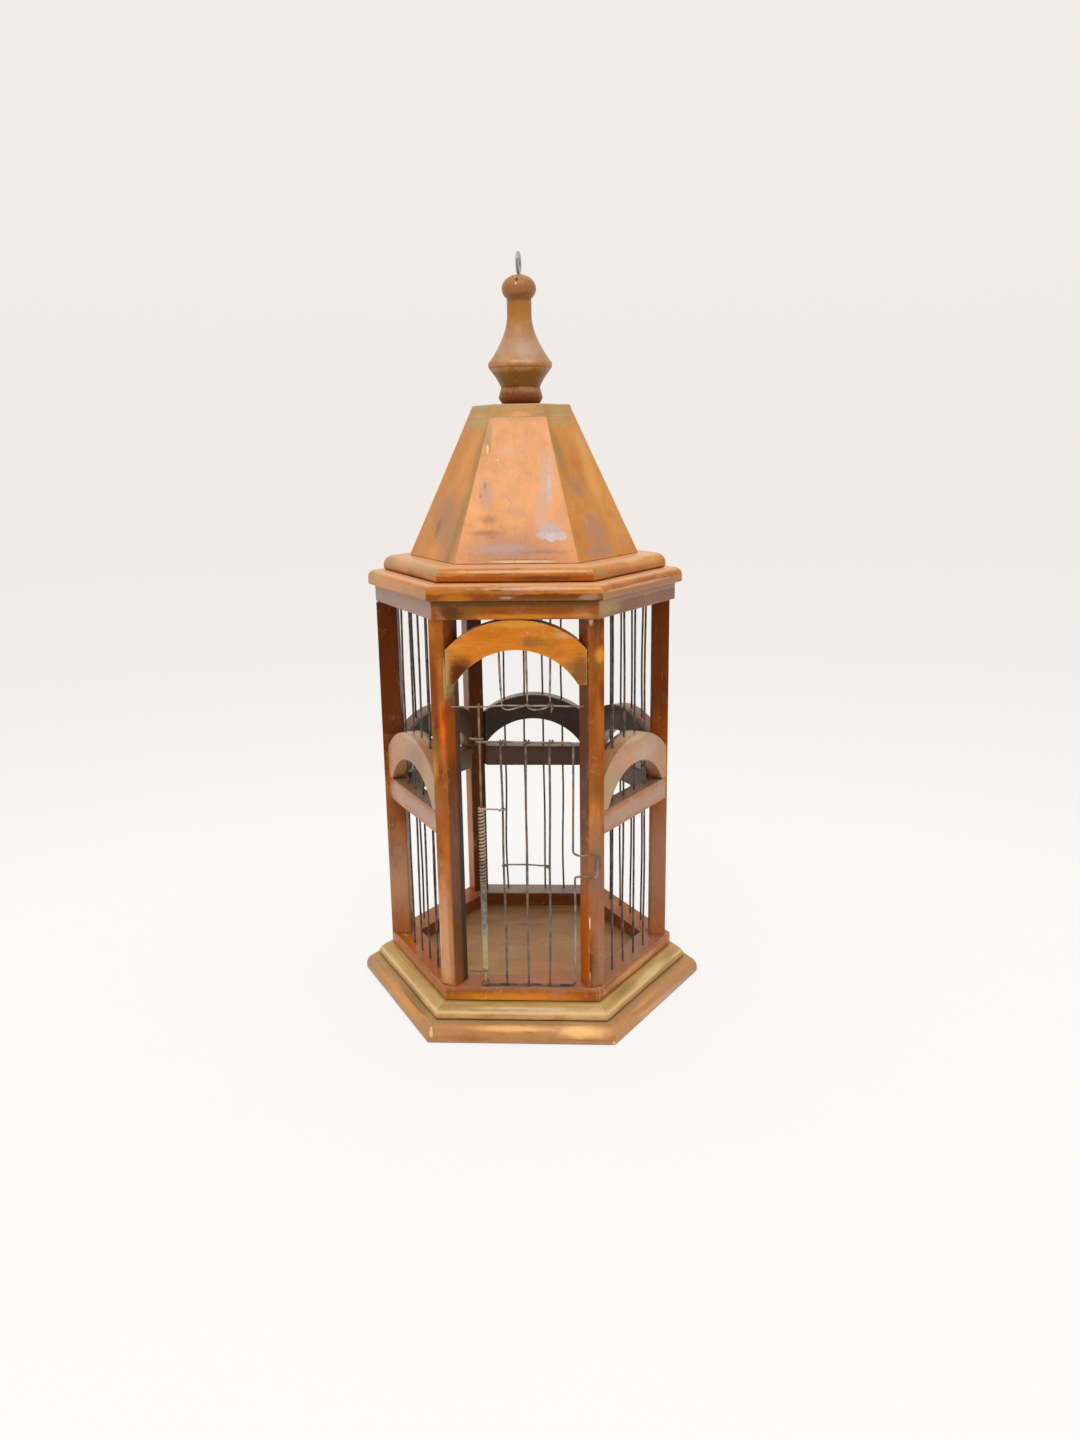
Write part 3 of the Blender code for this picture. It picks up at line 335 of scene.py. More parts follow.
    shine = s.scaled(clouds, 0.40, roughness - 0.20)
    shine = s.math("ADD", shine, s.times(hazy, 0.20), clamp=True)
    height = s.add(s.add(s.times(fibre, 0.4), s.times(streak, 0.8)), s.times(broad, 2.0))
    return s.finish(
        Base_Color=colour, Roughness=shine, Specular_IOR_Level=gloss, Normal=s.bump(height, 0.4, 0.30 * MM))


# Metal


def metal(name, dark, light, rust, metallic, roughness=0.42, seed=0, rusty=0.3, zones=()):
    """Drawn wire, dulled in patches, with rust where the noise rises.

    A zone is (height where it starts, height where it is full, colour), in millimetres."""
    s = Surface(name)
    place = s.vector("ADD", s.position, (seed * 0.37, seed * 0.11, seed * 0.53))
    patches = s.noise(place, 130.0, 4.0, 0.65)
    fine = s.noise(place, 900.0, 3.0, 0.6)
    colour = s.mix(s.span(patches, 0.35, 0.66), dark, light)
    height = s.add(s.split(s.position)[2], s.scaled(patches, 6.0 * MM, -3.0 * MM))
    for start, full, tint in zones:
        share = s.times(s.span(height, start * MM, full * MM), s.span(patches, 0.30, 0.55, 0.45, 0.95))
        colour = s.mix(share, colour, tint)
    reddish = s.noise(s.vector("ADD", place, (0.3, 0.9, 0.5)), 75.0, 4.0, 0.7)
    rusted = s.span(reddish, 0.62 - rusty * 0.35, 0.74 - rusty * 0.2)
    colour = s.mix(rusted, colour, rust)
    rough = s.add(s.scaled(fine, 0.3, roughness - 0.15), s.times(rusted, 0.25))
    metal_share = s.scaled(rusted, -metallic * 0.7, metallic)
    grain = s.bump(fine, 0.5, 0.12 * MM)
    return s.finish(Base_Color=colour, Roughness=rough, Metallic=metal_share, Normal=grain)


# Shapes


def add_object(name, mesh, material, node, body="cage"):
    """A piece that replaces a node and rides on a body, or on none."""
    piece = bpy.data.objects.new(name, mesh)
    bpy.context.scene.collection.objects.link(piece)
    mesh.materials.append(material)
    if body:
        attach(piece, body)
    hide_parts(node)
    return piece


def mesh_from(bm, name, smooth_below=None):
    bmesh.ops.recalc_face_normals(bm, faces=bm.faces[:])
    mesh = bpy.data.meshes.new(name)
    bm.to_mesh(mesh)
    bm.free()
    if smooth_below is not None:
        mesh.shade_smooth()
        mesh.set_sharp_from_angle(angle=math.radians(smooth_below))
    return mesh


def crisp_faces(piece):
    """Normals weighted by area, so that flat faces stay flat beside their rounded edges."""
    weighted = piece.modifiers.new("weighted_normals", "WEIGHTED_NORMAL")
    weighted.keep_sharp = True
    weighted.weight = 90


def ease_edges(piece, width, segments=2, angle=30.0):
    bevel = piece.modifiers.new("eased_edges", "BEVEL")
    bevel.width = width
    bevel.segments = segments
    bevel.limit_method = "ANGLE"
    bevel.angle_limit = math.radians(angle)
    bevel.harden_normals = True
    crisp_faces(piece)


def arc(centre_a, centre_b, radius, start, end, steps):
    """Points (a, b) of an arc, angles in degrees."""
    points = []
    for i in range(steps + 1):
        angle = math.radians(start + (end - start) * i / steps)
        points.append((centre_a + radius * math.cos(angle), centre_b + radius * math.sin(angle)))
    return points


def ring_at(bm, radius, height, steps):
    """Vertices round the axis, or a single one on it."""
    if radius < 1e-7:
        return [bm.verts.new((0.0, 0.0, height))]
    angles = [TURN * k / steps for k in range(steps)]
    return [bm.verts.new((radius * math.cos(angle), radius * math.sin(angle), height)) for angle in angles]


def skin(bm, rings):
    """Faces between each ring and the next. A ring of one vertex closes to a point."""
    for upper, lower in zip(rings, rings[1:]):
        steps = max(len(upper), len(lower))
        for k in range(steps):
            m = (k + 1) % steps
            corners = ((upper, k), (lower, k), (lower, m), (upper, m))
            bm.faces.new(list(dict.fromkeys(ring[place % len(ring)] for ring, place in corners)))


def hex_solid(name, outline):
    """A solid hexagon from its outline of (distance to the flat, height), top to bottom."""
    bm = bmesh.new()
    rings = [ring_at(bm, flat / FLAT, height, 6) for flat, height in outline]
    bm.faces.new(rings[0])
    bm.faces.new(list(reversed(rings[-1])))
    skin(bm, rings)
    return mesh_from(bm, name, 30.0)


def lathe(name, outline, steps=96, smooth_below=35.0):
    """A turned solid from its outline of (radius, height), top to bottom, with both ends on the axis."""
    bm = bmesh.new()
    skin(bm, [ring_at(bm, radius, height, steps) for radius, height in outline])
    return mesh_from(bm, name, smooth_below)


def mitred_boards(name, section, gap=0.08 * MM):
    """Six boards round the hexagon, mitred at the corners, from their closed section of (flat, height)."""
    bm = bmesh.new()
    for side in range(6):
        ends = []
        for hand in (-1.0, 1.0):
            corners = [Vector((hand * (flat * SLOPE - gap), -flat, height)) for flat, height in section]
            ends.append([bm.verts.new(turned_to(side) @ corner) for corner in corners])
        bm.faces.new(ends[0])
        bm.faces.new(list(reversed(ends[1])))
        count = len(section)
        for i in range(count):
            j = (i + 1) % count
            bm.faces.new((ends[0][i], ends[1][i], ends[1][j], ends[0][j]))
    return mesh_from(bm, name, 30.0)


def front_board(name, outline, side):
    """A board from its outline of (x, z) on the front side, mitred to the posts and turned to its side."""
    bm = bmesh.new()
    face = bm.faces.new([bm.verts.new((x, -BOARD_OUTER, z)) for x, z in outline])
    pushed = bmesh.ops.extrude_face_region(bm, geom=[face])
    back = [item for item in pushed["geom"] if isinstance(item, bmesh.types.BMVert)]
    bmesh.ops.translate(bm, vec=(0.0, BOARD_OUTER - BOARD_INNER, 0.0), verts=back)
    for hand in (1.0, -1.0):
        normal = Vector((hand * math.cos(SIXTH / 2.0), math.sin(SIXTH / 2.0), 0.0))
        cut = bmesh.ops.bisect_plane(
            bm,
            geom=bm.verts[:] + bm.edges[:] + bm.faces[:],
            dist=1e-6,
            plane_co=-normal * (POST_WIDTH / 2.0 + 0.15 * MM),
            plane_no=normal,
            clear_outer=True,
        )
        rim = [item for item in cut["geom_cut"] if isinstance(item, bmesh.types.BMEdge)]
        bmesh.ops.holes_fill(bm, edges=rim, sides=0)
    bmesh.ops.rotate(bm, cent=(0, 0, 0), matrix=turned_to(side), verts=bm.verts[:])
    return mesh_from(bm, name)


def smooth_path(points, step):
    """A Catmull-Rom curve through the points, with a point about every step."""
    out = []
    for i in range(len(points) - 1):
        p0 = points[max(i - 1, 0)]
        p1, p2 = points[i], points[i + 1]
        p3 = points[min(i + 2, len(points) - 1)]
        count = max(1, round((p2 - p1).length / step))
        for k in range(count):
            t = k / count
            out.append(0.5 * (2.0 * p1 + (p2 - p0) * t + (2.0 * p0 - 5.0 * p1 + 4.0 * p2 - p3) * t * t
                              + (3.0 * p1 - p0 - 3.0 * p2 + p3) * t**3))
    out.append(points[-1])
    return out


def tube_into(bm, path, radius, sides=12):
    """A wire of round section along the path with domed ends. radius is a number or one for each point."""
    radii = radius if isinstance(radius, list) else [radius] * len(path)
    tangents = []
    for i in range(len(path)):
        tangents.append((path[min(i + 1, len(path) - 1)] - path[max(i - 1, 0)]).normalized())
    normal = tangents[0].orthogonal().normalized()
    stations = []
    for i, point in enumerate(path):
        if i:
            normal = tangents[i - 1].rotation_difference(tangents[i]) @ normal
            normal = (normal - tangents[i] * normal.dot(tangents[i])).normalized()
        stations.append((point, tangents[i], normal, radii[i]))
    dome = ((0.9, 0.45), (0.55, 0.83))
    point, tangent, normal, r = stations[0]
    head = [(point - tangent * r * out, tangent, normal, r * share) for out, share in dome]
    point, tangent, normal, r = stations[-1]
    tail = [(point + tangent * r * out, tangent, normal, r * share) for out, share in reversed(dome)]
    rings = []
    for point, tangent, normal, r in head + stations + tail:
        other = tangent.cross(normal)
        angles = [TURN * k / sides for k in range(sides)]
        rings.append([bm.verts.new(point + r * (math.cos(a) * normal + math.sin(a) * other)) for a in angles])
    bm.faces.new(list(reversed(rings[0])))
    bm.faces.new(rings[-1])
    skin(bm, rings)


def add_wire(name, path, radius, sides, material, node, body="cage"):
    bm = bmesh.new()
    tube_into(bm, path, radius, sides)
    return add_object(name, mesh_from(bm, name, 60.0), material, node, body)


def around(centre, radius, start, end, steps, across, along, rise=0.0 * Z):
    """Points round a centre, by millimetres and degrees, drifting by rise from first to last."""
    points = []
    for i in range(steps + 1):
        share = i / steps
        angle = math.radians(start + (end - start) * share)
        arm = radius * MM * (math.cos(angle) * across + math.sin(angle) * along)
        points.append(centre + arm + rise * share)
    return points


# Boards


def make_base():
    flat, top = flat_of("base_slab"), top_of("base_slab")
    rounding, foot_ease = 9.8 * MM, 1.0 * MM
    outline = arc(flat - rounding, top - rounding, rounding, 90.0, 0.0, 14)
    outline += [(flat, foot_ease), (flat - foot_ease, 0.0)]
    marks = (
        (-10, 6.0, 40, 3.0, (0.5, 0.25, 0.09), 0.5, 0.7, 0),
        # The bright orange band on the front's round-over is a painted highlight
        (-4, 11.2, 44, 2.4, (0.94, 0.5, 0.18), 0.9, 0.75, 0),
        (45, 9.6, 27, 6.0, (1.0, 0.57, 0.23), 0.95, 0.75, 0),
        (44, 4.4, 28, 0.9, (0.3, 0.14, 0.05), 0.5, 0.8, 0), (-40, 5, 20, 5, RUST_STAIN, 0.25, 0.8, 0),
        band(0.6, 1.7, (0.44, 0.33, 0.3), 0.7, 0.5), (-67, 8, 1.8, 4.5, BARE, 0.8, 0.5, 0),
        (69, 2, 1.6, 2.0, BARE, 0.8, 0.5, 0), band(5, 7.0, (0.46, 0.25, 0.1), 0.7, 0.7, 5),
        (10, 9, 60, 4.0, (0.7, 0.3, 0.06), 0.75, 0.8, 5), (-60, 8, 20, 6.0, (0.4, 0.22, 0.13), 0.7, 0.8, 5),
        (30, 13.2, 34, 1.3, (0.22, 0.08, 0.012), 0.75, 0.6, 5),
        (-40, 12.5, 30, 1.6, (0.36, 0.22, 0.08), 0.6, 0.8, 5),
        (-30, 13, 50, 2.0, (0.4, 0.2, 0.08), 0.6, 0.8, 1), (-20, 9, 30, 3.0, RUST_STAIN, 0.35, 0.7, 1),
        (30, 8, 40, 6.0, (0.42, 0.24, 0.12), 0.5, 0.8, 1), (15, 4, 50, 3.0, LILAC, 0.35, 0.6, 1),
        band(14.2, 1.6, (0.34, 0.24, 0.1), 0.6, 0.5),
    )
    piece = add_object("slab", hex_solid("slab", outline), wood(
        "slab_wood", SLAB, "x", folded=True, seed=3, tone=0.55, contrast=0.6, haze=0.15, wear=0.35,
        roughness=0.4, gloss=0.2, marks=marks), "base_slab")
    ease_edges(piece, 0.6 * MM, 3)

    flat, foot = flat_of("base_moulding"), foot_of("base_moulding")
    inner = FRAME_FLAT - 19.5 * MM
    slope = ((-10.2, 10.2), (-8.0, 10.15), (-7.6, 9.75), (-6.6, 9.3), (-4.9, 8.5), (-3.5, 7.6), (-2.4, 6.6),
             (-1.5, 5.6), (-0.8, 4.6), (-0.3, 3.6), (0.0, 2.5), (0.0, 0.5), (-0.4, 0.0))
    section = [(flat + out * MM, foot + up * MM) for out, up in slope] + [(inner, foot), (inner, FLOOR_TOP)]
    marks = (
        # The pale band at 19.6 mm is a painted highlight on the nose, and the umber band at 14.5 mm is
        # painted shade in the groove at the foot
        band(19.6, 1.5, (0.84, 0.64, 0.34), 0.55, 0.8), band(14.5, 1.4, UMBER, 0.6, 0.6),
        band(23.0, 2.6, (0.46, 0.31, 0.09), 0.6, 0.9), band(24.7, 0.7, UMBER, 0.25, 0.5, 0),
        (0, 17.0, 60, 1.6, (0.36, 0.21, 0.06), 0.55, 0.8, 1),
        (10, 21.5, 34, 2.4, (0.74, 0.56, 0.26), 0.65, 0.8, 1),
        (0, 17.0, 60, 1.6, (0.3, 0.17, 0.05), 0.55, 0.9, 5),
        (46, 22.5, 16, 3.4, (0.4, 0.23, 0.09), 0.7, 0.9, 1),
        (-20, 22.6, 30, 1.8, (0.58, 0.34, 0.14), 0.5, 0.9, 0),
        (-16, 24.1, 44, 0.35, (0.26, 0.15, 0.03), 0.75, 0.5, 5),
        (0, 17.6, 60, 1.0, (0.5, 0.24, 0.1), 0.45, 0.8, 0),
        (0, 22.0, 60, 1.1, (0.82, 0.62, 0.42), 0.5, 0.8, 0),
        (-30, 23.0, 26, 2.4, (0.26, 0.17, 0.04), 0.65, 0.8, 1),
        (36, 18.6, 24, 2.4, (0.3, 0.2, 0.05), 0.6, 0.8, 1),
        (30, 21.0, 26, 2.4, (0.62, 0.4, 0.14), 0.5, 0.8, 5),
        (55, 21, 8, 3.0, (0.8, 0.42, 0.3), 0.4, 0.7, 0), (-50, 22, 25, 2.5, OLIVE, 0.35, 0.7, 0),
    )
    piece = add_object("moulding_boards", mitred_boards("moulding_boards", section), wood(
        "moulding_wood", TAN, "x", folded=True, seed=8, tone=0.68, contrast=0.9, haze=0.10, wear=0.20,
        roughness=0.40, hollow_grime_and_shade=0.25, marks=marks), "base_moulding")
    ease_edges(piece, 0.2 * MM)

    rim = inner - 0.1 * MM
    # The fade and the umber mark at the back darken the floor towards the back: painted shade
    marks = (
        (16, -44, 44, 44, (0.48, 0.17, 0.055), 0.5, 0.9), (30, -70, 35, 12, RUST_STAIN, 0.3, 0.8),
        (-35, -30, 20, 40, (0.52, 0.3, 0.12), 0.4, 0.8), (20, 0, 25, 30, (0.5, 0.29, 0.1), 0.3, 0.8),
        (-10, 60, 60, 20, UMBER, 0.35, 0.8),
    )
    add_object("floor_panel", hex_solid("floor_panel", [(rim, FLOOR_TOP - 0.2 * MM), (rim, foot)]), wood(
        "floor_wood", FLOOR, "x", lying=True, seed=5, tone=0.77, contrast=0.8, haze=0.1, wear=0.0,
        roughness=0.5, fade=(-0.02, 0.08, -0.45), marks=marks), "base_moulding")


def frame_section(outer, width, foot, top, ease):
    section = [(outer - width, top)]
    section += arc(outer - ease, top - ease, ease, 90.0, 0.0, 5)
    section += arc(outer - ease, foot + ease, ease, 0.0, -90.0, 5)
    section += [(outer - width, foot)]
    return section


def make_frames():
    # orange is the colour of painted reflected light on the sill and the frieze
    orange = (0.80, 0.26, 0.015)
    marks = {
        "sill_frame": (
            # The orange mark on the lower front is a painted reflection of the moulding below
            (-4, 27.2, 74, 7.0, orange, 0.9, 0.9, 0), band(34.0, 1.4, (0.42, 0.19, 0.1), 0.5, 0.5, 0),
            (50, 29, 9, 5, RUST_STAIN, 0.5, 0.6, 0), band(36.5, 1.6, (0.46, 0.19, 0.1), 0.6, 0.4, 0),
            band(36.5, 2.2, (0.24, 0.2, 0.17), 0.85, 0.4, 3), band(30, 5, UMBER, 0.5, 0.4, 3),
            (0, 29, 60, 4, (0.5, 0.24, 0.1), 0.4, 0.7, 5), (0, 30, 60, 5, (0.74, 0.4, 0.16), 0.6, 0.7, 1),
            band(36.4, 1.4, (0.34, 0.2, 0.13), 0.6, 0.5, 1),
        ),
        "frieze_frame": (
            # The dark band along the top of the front is a painted shadow under the cornice
            band(327.0, 4.8, (0.17, 0.1, 0.025), 0.8, 0.7, 0), (-45, 319, 10, 8, UMBER, 0.85, 0.6, 0),
            # The lilac-grey band on the front-left side is painted sheen
            band(321, 12, (0.42, 0.33, 0.27), 0.6, 0.5, 5), band(321, 12, (0.22, 0.13, 0.09), 0.7, 0.5, 1),
            # The orange spots along the foot of the front are painted light reflected from the door arch
            (10, 316.5, 30, 2.5, orange, 0.7, 0.7, 0), (45, 317, 14, 3, orange, 0.6, 0.7, 0),
            (-15, 316, 20, 3, orange, 0.5, 0.7, 0), band(325, 2.5, (0.52, 0.32, 0.2), 0.5, 0.6, 1),
            (-46, 321, 26, 9.0, (0.5, 0.33, 0.13), 0.8, 0.9, 1),
        ),
    }
    for ring, seed, tone in (("sill", 11, 0.52), ("frieze", 14, 0.42)):
        name, node = ring + "_boards", ring + "_frame"
        section = frame_section(FRAME_FLAT, 21.0 * MM, foot_of(node), top_of(node), 1.0 * MM)
        # Inner shade paints shade on the inner faces of the sill and the frieze
        piece = add_object(name, mitred_boards(name, section), wood(
            name + "_wood", STAINED, "x", folded=True, seed=seed, tone=tone, contrast=0.8, haze=0.25,
            wear=0.5, gloss=0.26, inner_shade=0.75, inner_at=FRAME_FLAT - 20.5 * MM,
            shade_colour_within=(0.110, 0.024, 0.006), marks=marks[node]), node)
        ease_edges(piece, 0.25 * MM)


def post_block(name, foot, top, turn, deeper=0.0, proud=0.0):
    """A square post with eased upright edges, sawn flat at both ends.

    deeper lengthens its section towards the axis and proud away from it."""
    half, ease = POST_WIDTH / 2.0, 0.9 * MM
    bm = bmesh.new()
    rings = []
    for height in (foot, top):
        ring = []
        for quarter in range(4):
            middle = Matrix.Rotation(quarter * math.pi / 2.0, 2) @ Vector((half - ease, half - ease))
            for a, b in arc(middle.x, middle.y, ease, quarter * 90.0, quarter * 90.0 + 90.0, 4):
                inward = deeper if b > 0.0 else -proud
                ring.append(bm.verts.new((a, b + inward + half - POST_FACE, height)))
        rings.append(ring)
    bm.faces.new(rings[0])
    bm.faces.new(rings[1])
    skin(bm, rings)
    bmesh.ops.rotate(bm, cent=(0, 0, 0), matrix=Matrix.Rotation(turn, 3, "Z"), verts=bm.verts[:])
    return mesh_from(bm, name, 30.0)


def make_posts():
    orange = (0.72, 0.22, 0.012)
    marks = {
        "front_left": (
            (-1, 70, 10, 84, (0.7, 0.38, 0.2), 0.8, 0.8),
            (3.4, 236, 5.0, 38, (0.86, 0.14, 0.004), 0.9, 0.9), (-1, 306, 9, 14, orange, 0.4, 0.8),
            (2, 298, 7, 26, (0.3, 0.085, 0.012), 0.6, 0.9), (-4, 178, 8, 26, (0.38, 0.15, 0.05), 0.7, 0.9),
            (-4, 266, 7, 44, (0.24, 0.05, 0.004), 0.85, 0.9),
            (4.5, 246, 2.4, 10, (0.16, 0.045, 0.008), 0.7, 0.9),
            (-5, 205, 4, 16, (0.6, 0.3, 0.1), 0.6, 0.9), (4, 142, 4, 22, (0.56, 0.17, 0.015), 0.6, 0.9),
            # The dark mark down the upper right side face, turned towards the door, is painted shade
            (6.75, 240, 0.9, 110, (0.165, 0.036, 0.005), 0.88, 0.5),
            (6.75, 130, 0.9, 70, (0.16, 0.082, 0.052), 0.8, 0.7), (6.75, 70, 0.9, 50, NEAR_BLACK, 0.55, 0.8),
            (6.75, 234, 0.9, 34, (0.46, 0.09, 0.004), 0.75, 0.8),
            (6.75, 270, 1.7, 20, (0.48, 0.31, 0.12), 0.9, 0.6),
            (3.6, 84, 3.2, 70, (0.48, 0.18, 0.06), 0.7, 0.9),
            # The pale strip along the left edge is a painted highlight
            (-5.6, 84, 1.3, 60, (0.88, 0.54, 0.34), 0.5, 0.9),
        ),
        "front_right": (
            (3, 288, 6, 8, (0.88, 0.32, 0.02), 0.85, 0.8), (1, 128, 12, 62, (0.33, 0.17, 0.11), 0.8, 0.8),
            (-5, 128, 2.4, 50, (0.44, 0.15, 0.045), 0.6, 0.9), (2, 238, 6, 30, (0.6, 0.16, 0.01), 0.7, 0.9),
            (-2, 222, 8, 50, (0.34, 0.085, 0.014), 0.75, 0.9),
            (5, 262, 4, 16, (0.16, 0.045, 0.006), 0.75, 0.9),
            (0, 306, 6, 8, (0.22, 0.065, 0.008), 0.6, 0.9), (-4, 313, 2.5, 5, BARE, 0.6, 0.6),
            # The dark mark down the upper left side face, turned towards the door, is painted shade
            (-6.75, 235, 0.9, 110, (0.125, 0.038, 0.016), 0.85, 0.5),
            (-6.75, 66, 0.9, 60, (0.5, 0.105, 0.003), 0.92, 0.6),
            (0, 118, 5, 7, (0.22, 0.17, 0.11), 0.6, 0.7), (1, 134, 4, 9, (0.12, 0.05, 0.02), 0.6, 0.7),
            # The two pale lines by the left edge are painted highlights
            (-5.9, 88, 0.8, 7, (0.95, 0.72, 0.52), 0.8, 0.5), (-5.9, 45, 0.6, 5, BARE, 0.6, 0.5),
            (2, 190, 6, 20, (0.24, 0.075, 0.012), 0.6, 0.9), (3, 60, 9, 50, (0.42, 0.22, 0.135), 0.65, 0.9),
        ),
        "left": (
            (0, 275, 40, 120, (0.125, 0.022, 0.0), 0.92, 0.5),
            (0, 84, 24, 60, (0.56, 0.32, 0.18), 0.75, 0.9), (0, 150, 24, 22, (0.26, 0.085, 0.03), 0.6, 0.9),
        ),
        "right": (
            (0, 285, 40, 100, (0.155, 0.027, 0.0), 0.88, 0.6),
            (0, 210, 20, 30, (0.34, 0.06, 0.004), 0.7, 0.9), (0, 95, 40, 80, (0.42, 0.19, 0.11), 0.8, 0.8),
        ),
        "back_left": (
            # The umber mark over the upper part is painted shade
            (0, 262, 30, 60, UMBER, 0.4, 0.8), (6.75, 262, 0.9, 70, (0.28, 0.19, 0.17), 0.8, 0.5),
            (6.75, 105, 0.9, 66, (0.5, 0.21, 0.06), 0.85, 0.6),
        ),
        "back_right": (
            # The umber mark over the upper part is painted shade
            (0, 280, 30, 60, UMBER, 0.5, 0.7), (-6.75, 262, 0.9, 70, (0.28, 0.19, 0.17), 0.8, 0.5),
            (-6.75, 105, 0.9, 66, (0.5, 0.21, 0.06), 0.85, 0.6),
        ),
    }
    for corner, name in enumerate(CORNERS):
        node = "post_" + name
        turn = (corner - 1) * SIXTH + math.pi / 2.0
        deeper = {"front_left": 3.0 * MM, "left": -0.8 * MM}.get(name, 0.0)
        proud = 3.0 * MM if name == "left" else 0.0
        behind = name.startswith("back")
        shade_depth = 3.2 * MM if deeper > 0.0 else 1.5 * MM
        piece = post_block(node + "_block", foot_of(node), top_of(node), turn, deeper, proud)
        # Inner shade paints shade on the inner faces, strongly on the deepened front-left post and the back
        # posts
        post = add_object("post_wood_" + name, piece, wood(
            node + "_stain", STAINED, "z", turn=turn, seed=20 + corner, tone=0.42, contrast=1.2, haze=0.12,
            wear=0.3, inner_shade=0.85 if deeper > 0.0 or behind else 0.35,
            inner_at=POST_FACE - POST_WIDTH + shade_depth,
            shade_colour_within=(0.100, 0.030, 0.008) if behind else PAINTED_INNER_SHADE, fade=(0.30, 0.06, 0.12), gloss=0.15,
            marks=marks.get(name, ())), node)
        crisp_faces(post)


def arch_outline(foot, half):
    """Outline of an arched board from its foot, its chord centred on x = 0."""
    inner_half = half - 14.85 * MM
    rise, crown, shoulder = 25.0 * MM, 46.2 * MM, 14.3 * MM
    outline = [(-half, foot)]
    radius = (inner_half**2 + rise**2) / (2.0 * rise)
    sweep = math.degrees(math.atan2(inner_half, radius - rise))
    outline += arc(0.0, foot + rise - radius, radius, 90.0 + sweep, 90.0 - sweep, 56)
    outline += [(half, foot)]
    drop = crown - shoulder
    radius = (half**2 + drop**2) / (2.0 * drop)
    sweep = math.degrees(math.atan2(half, radius - drop))
    outline += arc(0.0, foot + crown - radius, radius, 90.0 - sweep, 90.0 + sweep, 56)
    return outline


def make_side_boards():
    # far is the colour of painted shade, mostly for the boards at the back seen through the cage
    far = (0.22, 0.155, 0.11)
    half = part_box("sill_frame")[1].x / 2.0
    inner_at = BOARD_INNER + 3.0 * MM
    door_marks = (
        (-40, 275, 17, 20, (0.085, 0.022, 0.002), 0.95, 0.8), (-50, 282, 5, 22, (0.48, 0.31, 0.11), 0.9, 0.6),
        (12, 298, 13, 5, (0.26, 0.12, 0.03), 0.7, 0.8), (46, 276, 18, 20, (0.17, 0.07, 0.02), 0.8, 0.8),
        (34, 303, 10, 4, (0.76, 0.46, 0.16), 0.5, 0.8), (-24, 304, 16, 5, (0.6, 0.14, 0.006), 0.5, 0.8),
        (30, 290, 9, 5, (0.62, 0.13, 0.006), 0.5, 0.8), (2, 311, 30, 3, (0.86, 0.44, 0.08), 0.4, 0.7),
    )
    for side, name in enumerate(SIDES):
        door = side == 0
        near = side in (1, 5)
        node = "arch_" + name
        foot = foot_of(node) / MM
        # The grey-tan marks on the front-left and front-right sides are painted sheen of the outward-turned
        # faces
        side_marks = (
            band(foot + 20, 60, (0.50, 0.34, 0.22) if near else far, 0.45, 0.5),
            (0, foot + 44, 30, 4, (0.60, 0.46, 0.26) if near else far, 0.5, 0.7),
            (14, foot + 30, 30, 16, (0.64, 0.52, 0.42) if side == 1 else far, 0.40, 0.9),
            (-22, foot + 32, 18, 9, (0.62, 0.31, 0.19) if near else far, 0.5, 0.9),
            (-6, foot + 38, 12, 5, (0.40, 0.29, 0.13) if near else far, 0.5, 0.9),
            (-40 if side == 1 else 40, foot + 18, 17, 26, (0.46, 0.31, 0.12) if near else far, 0.75, 0.9),
        )
        # Inner shade paints shade on the inner faces of the side arches, and their high haze stands in for
        # sheen
        arch = add_object(node + "_board", front_board(node, arch_outline(foot_of(node), half), side), wood(
            node + "_wood", ORANGE if door else STAINED, "x", turn=side * SIXTH, seed=40 + side,
            tone=0.55 if door else 0.66, contrast=0.8, haze=0.05 if door else 0.5, wear=0.4,
            inner_shade=0.0 if door else 0.90, inner_at=inner_at, gloss=0.3 if door else 0.45,
            marks=door_marks if door else side_marks), node)
        ease_edges(arch, 0.5 * MM, 2, 35.0)
        if door:
            continue
        node = "rail_" + name
        low, high = foot_of(node), top_of(node)
        outline = [(-half, low), (half, low), (half, high), (-half, high)]
        # Inner shade paints shade on the inner faces of the rails; the high haze and the grey band low on
        # them stand in for sheen
        rail = add_object(node + "_board", front_board(node, outline, side), wood(
            node + "_wood", STAINED, "x", turn=side * SIXTH, seed=50 + side, tone=0.62, contrast=0.8,
            haze=0.6, wear=0.4, inner_shade=0.78, inner_at=inner_at, gloss=0.45, marks=(
                band(high / MM + 0.1, 0.7, (0.17, 0.125, 0.09), 0.80, 0.5),
                band(low / MM + 8.0, 8.0, (0.48, 0.38, 0.28), 0.50, 0.6),
            )), node)
        ease_edges(rail, 0.5 * MM)


